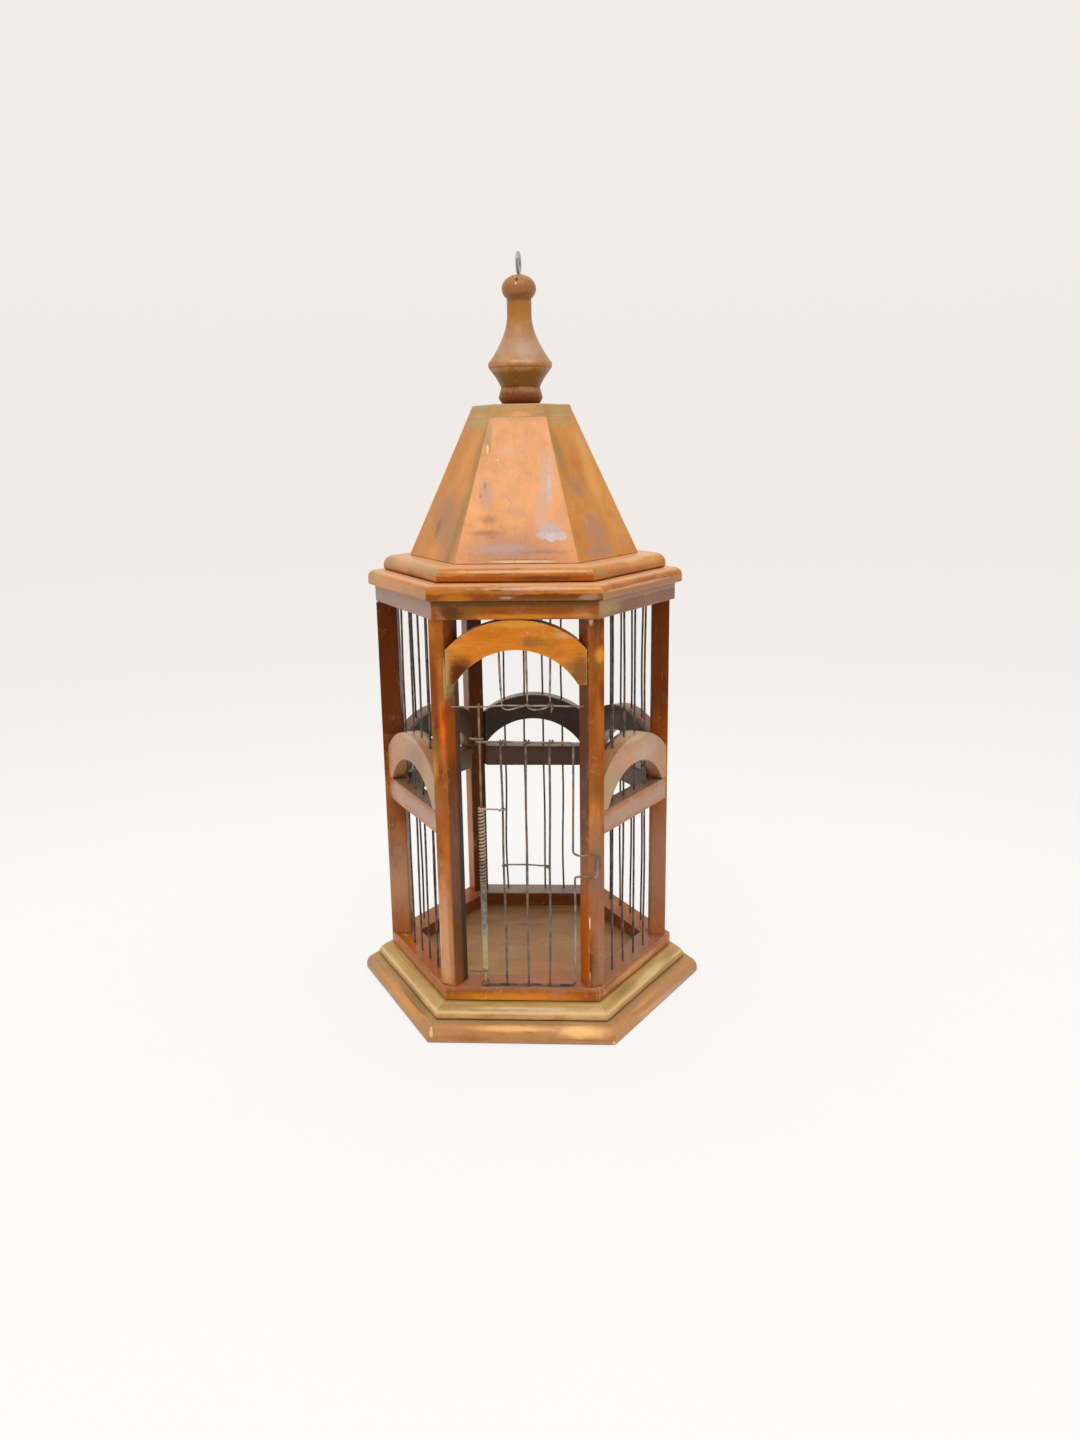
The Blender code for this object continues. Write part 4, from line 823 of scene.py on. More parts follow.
def make_cornice():
    inner = 60.0 * MM
    flat, foot, top = flat_of("cornice_lower"), foot_of("cornice_lower"), top_of("cornice_lower")
    over, under = 5.5 * MM, 0.6 * MM
    section = [(inner, top)] + arc(flat - over, top - over, over, 90.0, 0.0, 12)
    section += [(flat, foot + under), (flat - under, foot), (inner, foot)]
    marks = (
        # The dark band low on the front is painted shade, and the pale band over the rounded top is painted
        # sheen
        band(329.8, 3.8, (0.27, 0.068, 0.007), 0.9, 0.5, 0),
        (-40, 329.5, 16, 4, (0.62, 0.2, 0.012), 0.7, 0.6, 0), (25, 331, 40, 2.2, UMBER, 0.7, 0.6, 0),
        (52, 330, 9, 3, HAZE, 0.5, 0.5, 0), (-5, 330, 8, 1.5, HAZE, 0.6, 0.5, 0),
        band(338.8, 2.6, SHEEN_PINK, 0.75, 0.95), (20, 336, 60, 1.6, (0.9, 0.55, 0.35), 0.6, 0.6, 0),
        (-10, 333, 60, 1.3, (0.85, 0.48, 0.2), 0.7, 0.4, 1),
        band(330, 4.0, (0.38, 0.22, 0.12), 0.6, 0.6, 1), band(332, 5.0, (0.62, 0.36, 0.17), 0.5, 0.6, 5),
        (-44, 336, 20, 6.0, (0.5, 0.33, 0.14), 0.55, 0.9, 5),
    )
    piece = add_object("lower_cornice_boards", mitred_boards("lower_cornice_boards", section), wood(
        "lower_cornice_wood", STAINED, "x", folded=True, seed=61, tone=0.72, contrast=0.8, haze=0.25,
        wear=0.35, gloss=0.2, marks=marks), "cornice_lower")
    ease_edges(piece, 0.2 * MM)
    rim = inner - 0.1 * MM
    add_object("ceiling_panel", hex_solid("ceiling_panel", [(rim, top), (rim, foot)]), wood(
        "ceiling_wood", FLOOR, "x", seed=66, tone=0.4, contrast=0.7, haze=0.1, wear=0.1),
        "cornice_lower")

    flat, foot, top = flat_of("cornice_upper"), foot_of("cornice_upper"), top_of("cornice_upper")
    over, under = 7.4 * MM, 1.6 * MM
    # Colour of the painted shade under the nose
    under_nose_shade = (0.46, 0.105, 0.006)
    section = [(inner, top)] + arc(flat - over, top - over, over, 90.0, 0.0, 12)
    section += arc(flat - under, foot + under, under, 0.0, -90.0, 8) + [(inner, foot)]
    marks = (
        # The first band, low on the front, is painted shade under the nose, the pale band over the top is
        # painted sheen, and the orange mark high on the front-right side is a painted highlight
        band(341.2, 3.6, under_nose_shade, 0.9, 0.5, 0), (20, 342, 30, 2.0, UMBER, 0.6, 0.6, 0),
        band(349.9, 2.8, SHEEN_PINK, 0.75, 0.95), (0, 346.5, 70, 1.4, (0.92, 0.58, 0.36), 0.6, 0.6, 0),
        (-10, 347, 50, 2.5, (0.7, 0.42, 0.2), 0.4, 0.7, 5), band(342, 2.2, (0.46, 0.18, 0.03), 0.4, 0.6, 1),
        band(346, 5.0, (0.6, 0.34, 0.13), 0.6, 0.6, 5), (10, 346, 50, 3.0, (0.72, 0.38, 0.13), 0.5, 0.7, 1),
        (-44, 346, 14, 6.0, (0.38, 0.26, 0.09), 0.65, 0.9, 5),
        (46, 345, 12, 6.0, (0.36, 0.24, 0.08), 0.65, 0.9, 5),
        (-46, 345, 12, 6.0, (0.4, 0.28, 0.09), 0.6, 0.9, 1),
        (4, 348, 24, 1.6, (0.9, 0.5, 0.18), 0.5, 0.8, 1),
    )
    piece = add_object("upper_cornice_boards", mitred_boards("upper_cornice_boards", section), wood(
        "upper_cornice_wood", STAINED, "x", folded=True, seed=71, tone=0.76, contrast=0.8, haze=0.25,
        wear=0.3, gloss=0.2, marks=marks), "cornice_upper")
    ease_edges(piece, 0.2 * MM)


def roof_panel(name, side):
    """A leaning board mitred to its neighbours, from the foot of the roof to the cap."""
    low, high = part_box("roof_panel_front")
    foot_flat, top_flat = -low.y, flat_of("roof_cap")
    lean = (foot_flat - top_flat) / (high.z - low.z)
    wall = 6.0 * MM * math.hypot(1.0, lean)
    mitre_gap = 0.02 * MM
    bm = bmesh.new()
    rings = []
    for flat, height in ((top_flat, high.z), (foot_flat, low.z)):
        ring = []
        for across, depth in ((-1.0, 0.0), (1.0, 0.0), (1.0, wall), (-1.0, wall)):
            ring.append(bm.verts.new((across * ((flat - depth) * SLOPE - mitre_gap), depth - flat, height)))
        rings.append(ring)
    bm.faces.new(rings[0])
    bm.faces.new(rings[1])
    skin(bm, rings)
    bmesh.ops.rotate(bm, cent=(0, 0, 0), matrix=turned_to(side), verts=bm.verts[:])
    return mesh_from(bm, name)


def make_roof():
    brown = (0.30, 0.10, 0.03)
    marks = {
        "front": (
            (-4, 364, 46, 20, (0.58, 0.25, 0.12), 0.7, 0.9),
            (-2, 352, 60, 22.0, (0.5, 0.24, 0.14), 0.62, 0.9),
            (0, 452, 36, 5.0, (0.52, 0.28, 0.1), 0.6, 0.7),
            (-21.5, 438, 3.6, 20, (0.46, 0.26, 0.08), 0.85, 0.5),
            # The pale lilac patches on the right half of the front panel, here and a few lines below, are a
            # painted reflection of the light
            (20, 378, 12.0, 5.0, (0.66, 0.46, 0.4), 0.6, 0.9),
            (24, 372.5, 12.5, 6.0, (0.62, 0.45, 0.43), 0.92, 0.6),
            (17.5, 368.9, 5.0, 3.4, (0.66, 0.5, 0.49), 0.9, 0.3),
            (24.5, 367.6, 5.4, 3.6, (0.72, 0.57, 0.57), 0.95, 0.3),
            (31.5, 368.6, 5.0, 3.6, (0.68, 0.52, 0.52), 0.95, 0.3),
            (-12, 360, 30, 5.0, (0.54, 0.36, 0.31), 0.8, 0.8),
            (18, 358.0, 26, 2.4, (0.4, 0.2, 0.14), 0.6, 0.8),
            (21, 409, 7, 30, (0.68, 0.42, 0.32), 0.85, 0.9), (23, 402, 3, 18, (0.72, 0.52, 0.48), 0.7, 0.9),
            (17, 388, 7, 16, (0.66, 0.4, 0.3), 0.7, 0.9), (-22, 398, 9, 18, (0.58, 0.3, 0.18), 0.75, 0.9),
            (-10, 426, 8, 6, (0.7, 0.42, 0.28), 0.5, 0.9), (-23, 403, 1.4, 3.4, brown, 0.7, 0.8),
            (-26, 396, 1.8, 2.4, brown, 0.6, 0.8), (-20, 380, 10, 5.0, brown, 0.45, 0.9),
            (-22, 371, 16, 3.0, brown, 0.5, 0.9), (0, 385, 14, 6, (0.6, 0.3, 0.14), 0.5, 0.9),
            (-14, 421, 1.3, 1.3, BARE, 0.9, 0.5), (-21.5, 428, 1.2, 5.0, (0.98, 0.66, 0.3), 0.9, 0.5),
            (-17, 368, 3, 1.6, (0.46, 0.14, 0.05), 0.6, 0.7), (4, 351.6, 34, 0.9, BARE, 0.8, 0.5),
            (4, 353.0, 36, 0.5, (0.42, 0.12, 0.05), 0.6, 0.5),
        ),
        "front_left": (
            (30, 375, 12, 60, (0.28, 0.17, 0.04), 0.75, 0.9),
            (24, 430, 9, 50, (0.32, 0.18, 0.04), 0.7, 0.9), (0, 382, 26, 26, (0.38, 0.2, 0.1), 0.7, 0.9),
            (-6, 372, 6, 10, (0.2, 0.11, 0.045), 0.7, 0.9),
            (16, 366, 16, 20, (0.42, 0.2, 0.105), 0.74, 0.9), (2, 448, 30, 9, (0.46, 0.33, 0.1), 0.75, 0.8),
            (0, 356, 30, 8, (0.74, 0.3, 0.06), 0.5, 0.9), (-10, 400, 9, 9, (0.56, 0.3, 0.09), 0.4, 0.9),
        ),
        "front_right": (
            (16, 430, 13, 26, (0.8, 0.42, 0.13), 0.55, 0.9),
            (-12, 401, 16, 12, (0.38, 0.2, 0.09), 0.7, 0.9),
            (-6, 370, 24, 19, (0.42, 0.22, 0.135), 0.76, 0.9),
            (-10, 356, 30, 6, (0.44, 0.24, 0.16), 0.7, 0.8), (26, 360, 16, 8, (0.62, 0.24, 0.1), 0.6, 0.9),
            (-6, 448, 30, 8, (0.5, 0.33, 0.12), 0.65, 0.8), (-20, 424, 8, 34, (0.34, 0.2, 0.06), 0.75, 0.9),
            (12, 404, 12, 26, (0.86, 0.4, 0.07), 0.65, 0.9),
        ),
    }
    for side, name in enumerate(SIDES):
        node = "roof_panel_" + name
        door = side == 0
        piece = add_object(node + "_board", roof_panel(node, side), wood(
            node + "_wood", PALE if door else AMBER, "z", turn=side * SIXTH, seed=80 + side,
            tone=0.80 if door else 0.66, contrast=0.6, haze=0.20, wear=0.20, roughness=0.27, hollow_grime_and_shade=0.1,
            gloss=0.5 if door else 0.18, marks=marks.get(name, ())), node)
        ease_edges(piece, 0.2 * MM)

    top, foot = top_of("roof_cap"), top_of("roof_panel_front") + 0.02 * MM
    flat, top_flat = flat_of("roof_cap"), 31.52 * MM
    rim, plug = flat - 6.8 * MM, 12.0 * MM
    marks = (
        (0, 450.5, 16, 6.0, (0.8, 0.34, 0.1), 0.85, 0.6, 0),
        (6, 450.5, 16, 5.0, (0.7, 0.34, 0.07), 0.6, 0.8, 5),
        (-2, 450.5, 16, 4.0, (0.7, 0.36, 0.1), 0.6, 0.8, 1),
        (4, 457, 12, 4, (0.42, 0.34, 0.12), 0.5, 0.8, 5), (2, 456, 10, 4, (0.44, 0.36, 0.14), 0.5, 0.8, 1),
        (0, 460.2, 60, 0.9, BARE, 0.4, 0.6),
    )
    cap = hex_solid("cap_block", [(top_flat, top), (flat, foot), (rim, foot), (rim, foot - plug)])
    piece = add_object("cap_block", cap, wood(
        "cap_wood", TAN, "x", folded=True, seed=91, tone=0.50, contrast=0.6, haze=0.10, wear=0.25,
        hollow_grime_and_shade=0.0, marks=marks), "roof_cap")
    ease_edges(piece, 0.15 * MM)


def make_finial():
    """Ball, neck, flare, belly, waist and flange, with radii and heights in millimetres."""
    foot = top_of("roof_cap") / MM + 0.3
    neck, ball, ball_half, mouth_half = 9.0, 12.6, 9.9, 3.6
    centre = top_of("finial") / MM - ball_half + 0.42
    mouth_floor = centre + ball_half - 2.0
    outline = [(0.0, mouth_floor), (1.6, mouth_floor), (3.4, centre + ball_half * 0.964)]
    seam, mouth = math.pi - math.asin(neck / ball), math.asin(mouth_half / ball)
    for i in range(25):
        angle = mouth + (seam - mouth) * i / 24
        outline.append((ball * math.sin(angle), centre + ball_half * math.cos(angle)))
    neck_foot, belly, rounding, wide = foot + 63.0, foot + 28.4, 3.0, 23.7
    for i in range(29):
        share = i / 28
        widening = (wide - rounding / 2.0 - neck) * share**1.75
        outline.append((neck + widening, neck_foot + (belly + rounding - neck_foot) * share))
    outline += [(wide - 0.35, belly + 1.9), (wide, belly + 1.0), (wide, belly - 1.0)]
    outline.append((wide - 0.3, belly - 2.0))
    start, start_level = wide - 1.0, belly - 3.0
    outline.append((start, start_level))
    waist, waist_level, flange = 14.5, foot + 12.7, 16.4
    for i in range(1, 13):
        share = i / 12
        dip = 0.6 * math.sin(math.pi * share)
        level = start_level + (waist_level - start_level) * share
        outline.append((start + (waist - start) * share - dip, level))
    outline += [(waist + 0.1, foot + 12.2), (flange - 0.3, foot + 6.6), (flange, foot + 5.7)]
    outline += [(flange, foot + 4.9), (flange - 0.3, foot + 4.0), (13.8, foot + 0.5), (13.2, foot)]
    outline.append((0.0, foot))
    marks = (
        (0, 465.0, 90, 6.5, (0.2, 0.04, 0.008), 0.9, 0.6),
        (0, 462.2, 90, 2.2, (0.1, 0.02, 0.004), 0.7, 0.8),
        # The dark band under the belly is painted shade
        (0, 478.0, 90, 8.5, (0.21, 0.08, 0.002), 0.88, 0.5),
        (0, 486.6, 90, 0.9, (0.34, 0.08, 0.012), 0.7, 0.6),
        (0, 473.2, 90, 0.8, (0.14, 0.03, 0.004), 0.7, 0.6),
        (0, 500.0, 90, 15.0, (0.5, 0.29, 0.165), 0.82, 0.8),
        # The pale line just above the belly's ridge, second on the next line, is a painted highlight
        (5, 498.0, 10, 12.0, (0.58, 0.41, 0.3), 0.5, 0.9), (2, 489.8, 16, 1.6, (0.9, 0.6, 0.42), 0.45, 0.8),
        (0, 540.0, 40, 11.0, (0.36, 0.145, 0.055), 0.6, 0.8),
        (0, 551.8, 40, 1.3, (0.12, 0.06, 0.03), 0.6, 0.8),
        (0, 523.0, 40, 9.0, (0.48, 0.17, 0.02), 0.45, 0.9),
        # The dark marks at both flanks of the neck and of the flare are painted shade
        (-9, 520.0, 3, 20.0, (0.3, 0.08, 0.01), 0.5, 0.8),
        (9, 520.0, 2.4, 20.0, (0.3, 0.08, 0.01), 0.5, 0.8),
        (-19, 494.0, 7, 8.0, (0.34, 0.13, 0.03), 0.5, 0.8),
        (19, 494.0, 7, 8.0, (0.34, 0.13, 0.03), 0.5, 0.8),
        # The dark band low on the ball is painted shade
        (0, 535.5, 40, 4.0, (0.22, 0.07, 0.015), 0.6, 0.8),
        # The near-black pit where the eye's shank enters is painted shade in the hole
        (-0.5, 548.6, 1.3, 3.6, (0.24, 0.22, 0.2), 0.85, 0.5), (-0.7, 546.6, 1.5, 1.5, NEAR_BLACK, 0.9, 0.5),
        (-1.4, 543.9, 1.2, 1.2, BARE, 0.95, 0.4), (0, 513.0, 60, 12.0, (0.5, 0.24, 0.11), 0.5, 0.9),
    )
    turned = lathe("turned_finial", [(radius * MM, level * MM) for radius, level in outline])
    add_object("turned_finial", turned, wood(
        "finial_wood", GOLD, "z", seed=101, tone=0.70, contrast=0.6, haze=0.20, wear=0.1, roughness=0.33,
        marks=marks), "finial")


# Wires

BAR_WIRE = metal(
    "bar_wire", (0.070, 0.062, 0.055), (0.230, 0.200, 0.165), (0.190, 0.115, 0.065), 0.5, 0.42, 1, 0.3)
DOOR_WIRE = metal(
    "door_wire", (0.125, 0.100, 0.078), (0.300, 0.250, 0.190), (0.230, 0.130, 0.070), 0.25, 0.42, 2, 0.4)
FRAME_WIRE = metal(
    "door_frame_wire", (0.150, 0.115, 0.085), (0.420, 0.330, 0.240), (0.300, 0.165, 0.085), 0.25, 0.42, 6,
    0.5, ((95.0, 80.0, (0.480, 0.430, 0.370)), (42.0, 39.0, (0.030, 0.020, 0.014))))
ROD_WIRE = metal(
    "rod_wire", (0.160, 0.105, 0.065), (0.420, 0.300, 0.200), (0.280, 0.130, 0.060), 0.25, 0.45, 3, 0.6,
    ((90.0, 76.0, (0.480, 0.440, 0.380)), (78.0, 72.0, (0.640, 0.480, 0.200))))
TWIST_WIRE = metal(
    "twist_wire", (0.170, 0.135, 0.100), (0.500, 0.420, 0.320), (0.300, 0.180, 0.100), 0.25, 0.42, 7, 0.4)
SPRING_WIRE = metal(
    "spring_steel", (0.200, 0.170, 0.135), (0.500, 0.430, 0.340), (0.280, 0.180, 0.110), 0.35, 0.38, 4, 0.3,
    ((131.0, 140.0, (0.56, 0.44, 0.29)), (90.0, 76.0, (0.58, 0.57, 0.52)), (78.0, 72.0, (0.80, 0.62, 0.26)),
     (49.4, 48.4, (0.12, 0.09, 0.06))))
EYE_WIRE = metal(
    "eye_plating", (0.460, 0.450, 0.430), (0.600, 0.590, 0.570), (0.420, 0.380, 0.330), 0.6, 0.42, 5, 0.0)


def make_bars():
    """Straight wires that have been bent a little, above and below the rail."""
    dice = random.Random(31)
    foot, head = foot_of("bar_back_1"), top_of("bar_back_1")
    rail_low = foot_of("rail_back")
    arch_mid = rail_low + 30.0 * MM
    for side in range(1, 6):
        for number in range(1, 5):
            node = f"bar_{SIDES[side]}_{number}"
            low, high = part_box(node)
            centre = Vector(((low.x + high.x) / 2.0, (low.y + high.y) / 2.0, 0.0))
            bows = [(dice.uniform(-1.0, 1.0) * MM, dice.uniform(-0.5, 0.5) * MM) for _ in range(3)]
            path = []
            for i in range(31):
                z = foot + (head - foot) * i / 30
                if z < rail_low:
                    share = max(0.0, (z - SILL_TOP) / (rail_low - SILL_TOP))
                    waver, first, second = 0.5, bows[0], bows[1]
                else:
                    share = min(1.0, max(0.0, (z - arch_mid) / (FRIEZE_FOOT - arch_mid)))
                    waver, first, second = 0.3, bows[2], bows[0]
                bow = math.sin(math.pi * share) ** 2
                wave = math.sin(TURN * share) * waver
                lean = 2.2 * MM * min(1.0, max(0.0, (z - arch_mid) / 0.05)) if side == 5 else 0.0
                shift = Vector((first[0] * bow + second[0] * wave + lean, first[1] * bow, 0.0))
                path.append(centre + turned_to(side) @ shift + Z * z)
            add_wire("bent_" + node, path, 0.82 * MM, 10, BAR_WIRE, node)


def make_header():
    """The header wire, and the short bars over the door whose feet are wound and knotted along it."""
    low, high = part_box("header_wire")
    levels = ((low.x / MM, 251.2), (-27.5, 250.9), (-19.6, 251.2), (-11.0, 251.9), (9.0, 251.7),
              (24.0, 251.7), (38.0, 251.2), (high.x / MM, 251.1))
    path = smooth_path([at(x, HEADER_Y, z) for x, z in levels], 1.5 * MM)
    add_wire("header_strand", path, 0.62 * MM, 10, TWIST_WIRE, "header_wire")

    head = high.z / MM
    routes = (
        ((-12.7, head, 0), (-12.5, 300.0, 0), (-12.2, 285.0, 0), (-11.8, 270.0, 0), (-11.4, 258.0, 1),
         (-11.2, 253.5, 1), (-10.9, 250.9, 1), (-10.4, 250.1, 0), (-9.4, 249.9, -1), (-7.0, 249.1, -1),
         (-3.5, 249.6, -1), (1.5, 250.9, -1), (5.0, 251.9, -1), (6.3, 252.9, 0)),
        ((6.7, head, 0), (6.8, 291.0, 0), (7.0, 275.0, 0), (7.0, 262.0, 1), (7.1, 255.0, 1), (7.3, 252.4, 1),
         (7.6, 250.4, 0), (8.8, 250.0, -1), (12.0, 249.0, -1), (16.2, 249.3, -1), (20.0, 250.4, -1),
         (21.9, 251.5, -1), (22.4, 252.9, 0)),
        ((24.3, head, 0), (24.2, 310.0, 0), (23.8, 284.0, 0), (23.3, 262.0, 1), (23.4, 254.0, 1),
         (23.7, 251.3, 1), (23.9, 250.2, 0), (24.2, 251.6, -1), (24.8, 252.9, 0), (25.3, 251.6, 1),
         (25.0, 250.2, 0), (24.5, 249.0, -1), (24.2, 247.2, -1)),
    )
    aside = 1.35
    for number, route in enumerate(routes, start=1):
        path = smooth_path([at(x, HEADER_Y + aside * across, z) for x, z, across in route], 0.9 * MM)
        radii = [0.80 * MM if spot.z > 262.0 * MM else 0.52 * MM for spot in path]
        add_wire(f"short_bar_{number}", path, radii, 10, TWIST_WIRE, "header_wire")


def make_rod():
    stops = ((0.0, foot_of("hinge_rod") / MM), (0.0, 90.0), (0.0, 170.0), (0.1, 230.0))
    path = smooth_path([at(HINGE_X + aside, HINGE_Y, z) for aside, z in stops], 6.0 * MM)
    path += around(at(HINGE_X, HEADER_Y, HEADER_LEVEL - 0.6), HEADER_Y - HINGE_Y, 180.0, -110.0, 22, Y, Z)
    add_wire("rod", path, 0.8 * MM, 12, ROD_WIRE, "hinge_rod")


def rounded_bend(before, bend, after, radius, steps=7):
    """Points of the arc that rounds off a bend."""
    inward, onward = (before - bend).normalized(), (after - bend).normalized()
    half = inward.angle(onward) / 2.0
    reach = radius / math.tan(half)
    centre = bend + (inward + onward).normalized() * radius / math.sin(half)
    first, last = bend + inward * reach - centre, bend + onward * reach - centre
    sweep = first.angle(last)
    points = []
    for i in range(steps + 1):
        share = i / steps
        near, far = math.sin((1.0 - share) * sweep), math.sin(share * sweep)
        points.append(centre + (first * near + last * far) / math.sin(sweep))
    return points


def make_door_frame():
    """One wire: upper eye, top bar, latch side with its finger tab, bottom bar and lower eye."""
    front, tab, eye = DOOR_FRONT, -102.33, 2.25
    path = [at(-34.0, front + 0.3, DOOR_TOP + 2.6), at(-30.5, front, DOOR_TOP + 2.35)]
    path += around(at(HINGE_X, HINGE_Y, DOOR_TOP + 2.15), eye, -90.0, 270.0, 28, X, Y, at(0.0, 0.0, -2.15))
    bends = (
        (-12.0, front, DOOR_TOP + 0.25, 30.0), (8.0, front, DOOR_TOP - 0.3, 30.0),
        (39.7, front, DOOR_TOP - 0.5, 3.2), (39.4, front, 190.0, 30.0), (38.9, front, 142.2, 2.4),
        (43.6, tab, 141.6, 2.6), (57.0, tab, 142.4, 2.4), (56.4, tab, 124.8, 2.4), (43.6, tab, 125.6, 2.6),
        (40.2, front, 123.6, 2.2), (40.4, front, 80.0, 30.0), (40.0, front, DOOR_FOOT, 3.2),
        (5.0, front, DOOR_FOOT + 0.25, 30.0),
    )
    stops = [at(x, y, z) for x, y, z, _ in bends]
    chain = [path[-1]] + stops + [at(HINGE_X, front, DOOR_FOOT)]
    for before, stop, after, (*_, radius) in zip(chain, stops, chain[2:], bends):
        path += rounded_bend(before, stop, after, radius * MM)
    path += around(at(HINGE_X, HINGE_Y, DOOR_FOOT), eye, 270.0, 40.0, 20, X, Y, at(0.0, 0.0, 1.2))
    add_wire("door_outline", path, 0.8 * MM, 12, FRAME_WIRE, "door_frame", "door")


def make_door_bars():
    """Uprights wound round the top bar, with the thin tie across them."""
    uprights = ((-12.6, -11.6, 0.5), (5.6, 4.9, -0.4), (22.6, 20.9, 0.35))
    for number, (high, low, bow) in enumerate(uprights, start=1):
        node = f"door_bar_{number}"
        foot = foot_of(node) / MM
        spots = []
        for i in range(13):
            share = i / 12
            x = low + (high - low) * share + bow * math.sin(TURN * share) ** 2
            spots.append(at(x, HINGE_Y, foot + (DOOR_TOP - foot) * share))
        path = smooth_path(spots, 6.0 * MM)[:-1]
        straight = len(path)
        path += around(at(high, DOOR_FRONT, DOOR_TOP), 1.45, 0.0, 560.0, 36, Y, Z, at(3.0, 0.0, 0.0))
        radii = [0.85 * MM if i < straight - 1 else 0.55 * MM for i in range(len(path))]
        add_wire("bent_" + node, path, radii, 10, DOOR_WIRE, node, "door")

    low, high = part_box("door_cross_tie")
    z = (low.z + high.z) / 2.0 / MM
    first, last = at(-11.5, HINGE_Y, z), at(20.2, HINGE_Y, z - 0.5)
    reach = 1.55
    path = [first + at(-1.2, -2.6, 1.2)]
    path += around(first, reach, 250.0, -270.0, 30, X, Y)
    path += smooth_path([path[-1] + at(6.0, 0.0, 0.2), at(5.6, HINGE_Y + 1.6, z + 0.2),
                         last + at(-5.0, reach, 0.0)], 4.0 * MM)
    path += around(last, reach, 90.0, -430.0, 30, X, Y, at(0.0, 0.0, -0.8))
    add_wire("tie_wire", path, 0.6 * MM, 10, DOOR_WIRE, "door_cross_tie", "door")


def make_spring():
    """A long coil, finer and closer below, with an arm to the post and a hook on the first bar."""
    levels = (47.1, 73.1, 77.1, 116.1, 122.1, 175.7)
    wires = (0.55, 0.55, 0.62, 0.62, 0.82, 0.82)
    means = (1.48, 1.48, 1.76, 1.76, 1.80, 1.80)
    pitches = (1.45, 1.45, 1.5, 1.5, 2.68, 2.68)
    foot, head, steps = levels[0], levels[-1], 16

    def at_level(height, values):
        for low, high, first, last in zip(levels, levels[1:], values, values[1:]):
            if height <= high:
                return first + (last - first) * (height - low) / (high - low)
        return values[-1]

    front = HINGE_Y - at_level(foot, means)
    path = [at(-39.4, front, foot + 0.7), at(-34.0, front, foot + 0.2), at(-29.6, front, foot)]
    radii = [at_level(foot, wires) * MM] * len(path)
    height, i = foot, 0
    while height < head or i % steps:
        angle = TURN * i / steps - math.pi / 2.0
        reach = at_level(height, means)
        x, y = HINGE_X + reach * math.cos(angle), HINGE_Y + reach * math.sin(angle)
        path.append(at(x, y, min(height, head)))
        radii.append(at_level(height, wires) * MM)
        height += at_level(height, pitches) / steps
        i += 1
    front = HINGE_Y - at_level(head, means)
    bar, hook = at(-11.75, HINGE_Y, head - 0.4), 1.95
    path += smooth_path([at(-24.5, front - 0.3, head + 0.2), at(-16.0, front - 0.2, head - 0.1),
                         bar + at(-2.5, -hook, 0.1)], 3.0 * MM)
    path += around(bar, hook, -90.0, 160.0, 16, X, Y, at(0.0, 0.0, -0.8))
    path.append(path[-1] + at(-0.4, -1.9, -0.2))
    radii += [0.6 * MM] * (len(path) - len(radii))
    coil = add_wire("spring_coil", path, radii, 10, SPRING_WIRE, "door_spring", None)
    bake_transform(coil)


def make_eye():
    ball_top = top_of("finial") / MM
    ring, wire = 6.8, 1.3
    centre = at(0.0, 0.0, top_of("screw_eye") / MM - 1.4 - ring)
    across = Matrix.Rotation(math.radians(-4.0), 3, "Z") @ Y
    path = [at(0.0, 0.0, ball_top - down) for down in (9.0, 3.2, 1.3)]
    path += around(centre, ring, -72.0, 252.0, 44, across, Z)
    bm = bmesh.new()
    tube_into(bm, path, wire * MM, 14)
    turns, pitch = 4, 1.0
    start = at(0.0, 0.0, ball_top - 5.0)
    thread = around(start, wire + 0.05, 0.0, turns * 360.0, turns * 16, X, Y, at(0.0, 0.0, turns * pitch))
    tube_into(bm, thread, 0.25 * MM, 6)
    add_object("eye_ring", mesh_from(bm, "eye_ring", 60.0), EYE_WIRE, "screw_eye")


# Studio


def make_floor():
    """Pale paper that glows a little to the camera alone and fades out at its edge."""
    bm = bmesh.new()
    rings = [ring_at(bm, radius, -0.2 * MM, 96) for radius in (0.3, 0.9, 1.6)]
    bm.faces.new(rings[0])
    skin(bm, rings)
    s = Surface("floor_paper")
    s.tree.nodes.remove(s.principled)
    grain = s.mix(s.noise(s.position, 9.0, 3.0), (0.90, 0.89, 0.88), (0.92, 0.915, 0.905))
    paper = s.call("ShaderNodeBsdfDiffuse", (grain,))
    glow = s.call("ShaderNodeEmission", ((0.975, 0.955, 0.940), 1.0))
    clear = s.call("ShaderNodeBsdfTransparent", ())
    seen = s.times(s.node("ShaderNodeLightPath").outputs["Is Camera Ray"], 0.78)
    edge = s.span(s.vector("DISTANCE", s.position, (0.0, -0.35, 0.0)), 0.62, 1.15)
    out = s.tree.nodes["Material Output"]
    s.named(out, Surface=s.either(edge, s.either(seen, paper, glow), clear))
    floor = bpy.data.objects.new("floor", mesh_from(bm, "floor"))
    floor.data.materials.append(s.material)
    bpy.context.scene.collection.objects.link(floor)
    floor.visible_glossy = False


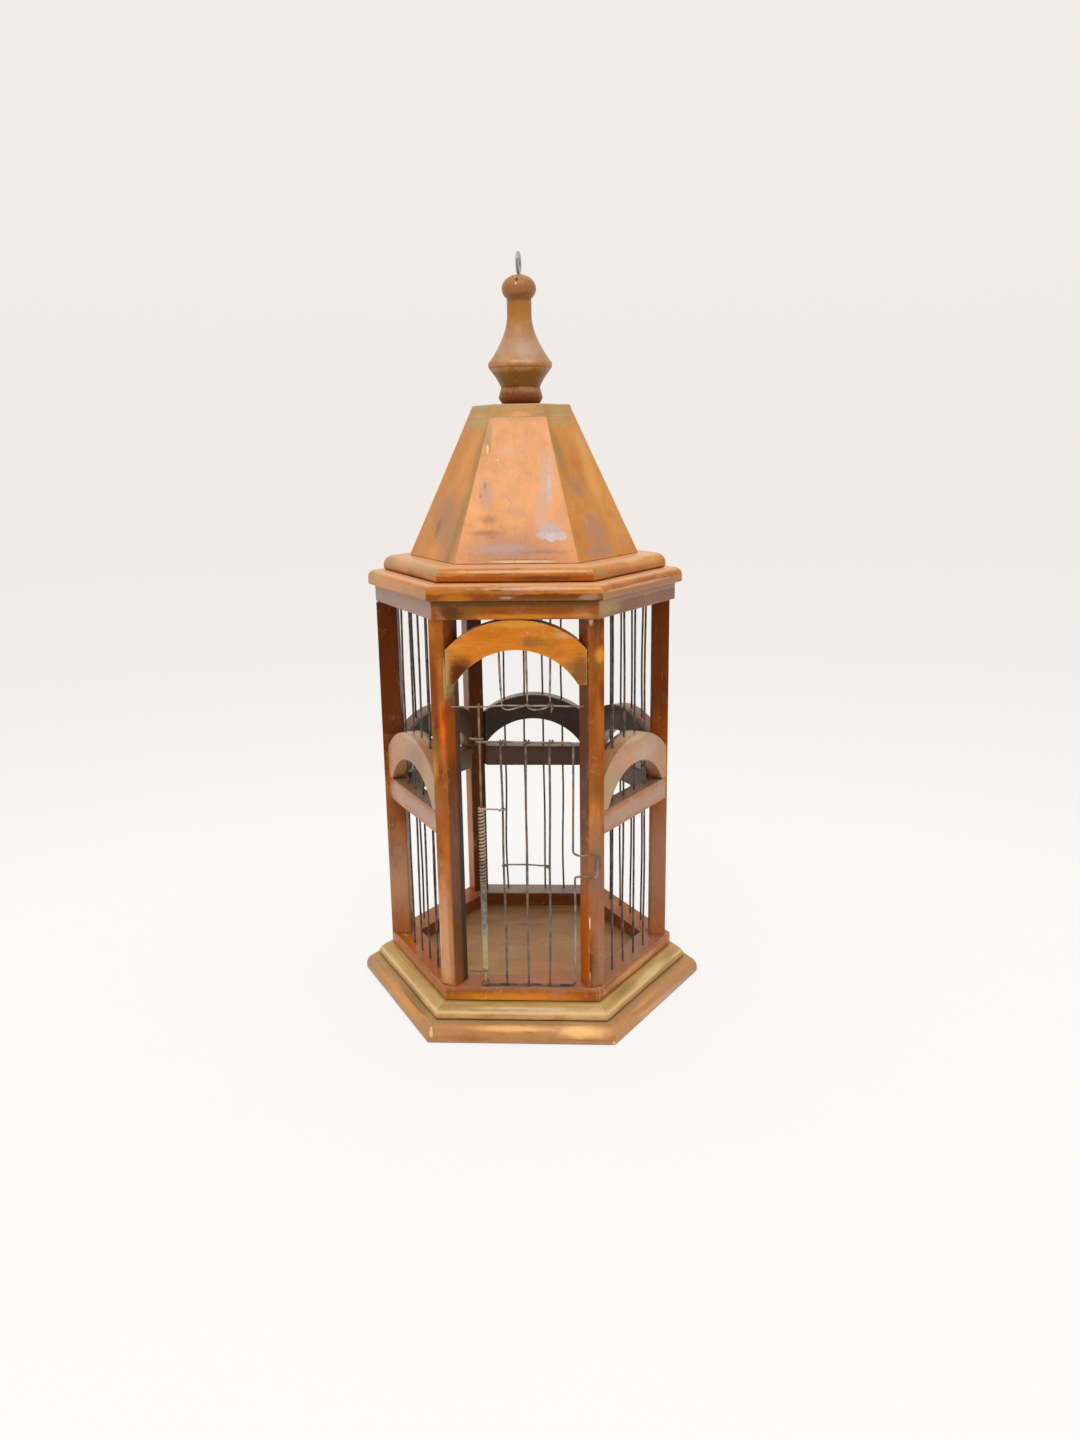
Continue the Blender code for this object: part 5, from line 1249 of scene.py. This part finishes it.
def make_world():
    """Plain light from above and the front, with a pale wall for the camera and for reflections."""
    world = bpy.data.worlds.new("studio")
    bpy.context.scene.world = world
    world.use_nodes = True
    s = Nodes(world.node_tree)
    s.tree.nodes.clear()
    back, up = s.split(s.node("ShaderNodeTexCoord").outputs["Generated"])[1:]
    skirt = s.mix(s.span(up, -0.42, -0.05), (0.960, 0.930, 0.905), (0.871, 0.831, 0.799))
    wall = s.mix(s.span(up, 0.0, 0.40), skirt, (0.905, 0.863, 0.831))
    seen = s.call("ShaderNodeBackground", (wall, 1.0))
    mirrored = s.call("ShaderNodeBackground", (wall, s.span(back, -0.9, 0.5, 0.12, 1.0)))
    level = s.add(s.span(up, -1.0, 1.0, 0.20, 1.00), s.span(back, -1.0, 1.0, -0.12, 0.12))
    light = s.call("ShaderNodeBackground", ((1.0, 0.985, 0.965), level))
    rays = s.node("ShaderNodeLightPath").outputs
    straight = s.math("MAXIMUM", rays["Is Camera Ray"], rays["Is Transmission Ray"])
    polished = s.either(rays["Is Glossy Ray"], light, mirrored)
    s.named(s.node("ShaderNodeOutputWorld"), Surface=s.either(straight, polished, seen))


def make_lamp():
    lamp = bpy.data.lights.new("softbox", "AREA")
    lamp.shape = "SQUARE"
    lamp.size = 1.2
    lamp.energy = 12.0
    lamp.color = (1.0, 0.98, 0.95)
    holder = bpy.data.objects.new("softbox", lamp)
    holder.location = (-0.1, -1.0, 1.9)
    aim = Vector((0.0, 0.0, 0.25)) - holder.location
    holder.rotation_mode = "QUATERNION"
    holder.rotation_quaternion = aim.to_track_quat("-Z", "Y")
    bpy.context.scene.collection.objects.link(holder)


def make_camera():
    azimuth, pitch, roll = math.radians(3.12), math.radians(13.954), math.radians(0.835)
    place = Vector((0.0575, -0.8553, 0.4306))
    ahead = Vector((-math.sin(azimuth), math.cos(azimuth), 0.0))
    forward = ahead * math.cos(pitch) - Z * math.sin(pitch)
    level = Vector((math.cos(azimuth), math.sin(azimuth), 0.0))
    down = -level.cross(forward)
    right = math.cos(roll) * level + math.sin(roll) * down
    below = -math.sin(roll) * level + math.cos(roll) * down
    lens = bpy.data.cameras.new("view")
    lens.sensor_width = 36.0
    lens.lens = 27.60
    holder = bpy.data.objects.new("view", lens)
    axes = Matrix((right, -below, -forward)).transposed()
    holder.matrix_world = Matrix.Translation(place) @ axes.to_4x4()
    bpy.context.scene.collection.objects.link(holder)
    bpy.context.scene.camera = holder


for make in (make_base, make_frames, make_posts, make_side_boards, make_cornice, make_roof, make_finial,
             make_bars, make_header, make_rod, make_door_frame, make_door_bars, make_spring, make_eye,
             make_floor, make_world, make_lamp, make_camera):
    make()
bpy.context.scene.view_settings.view_transform = "Standard"
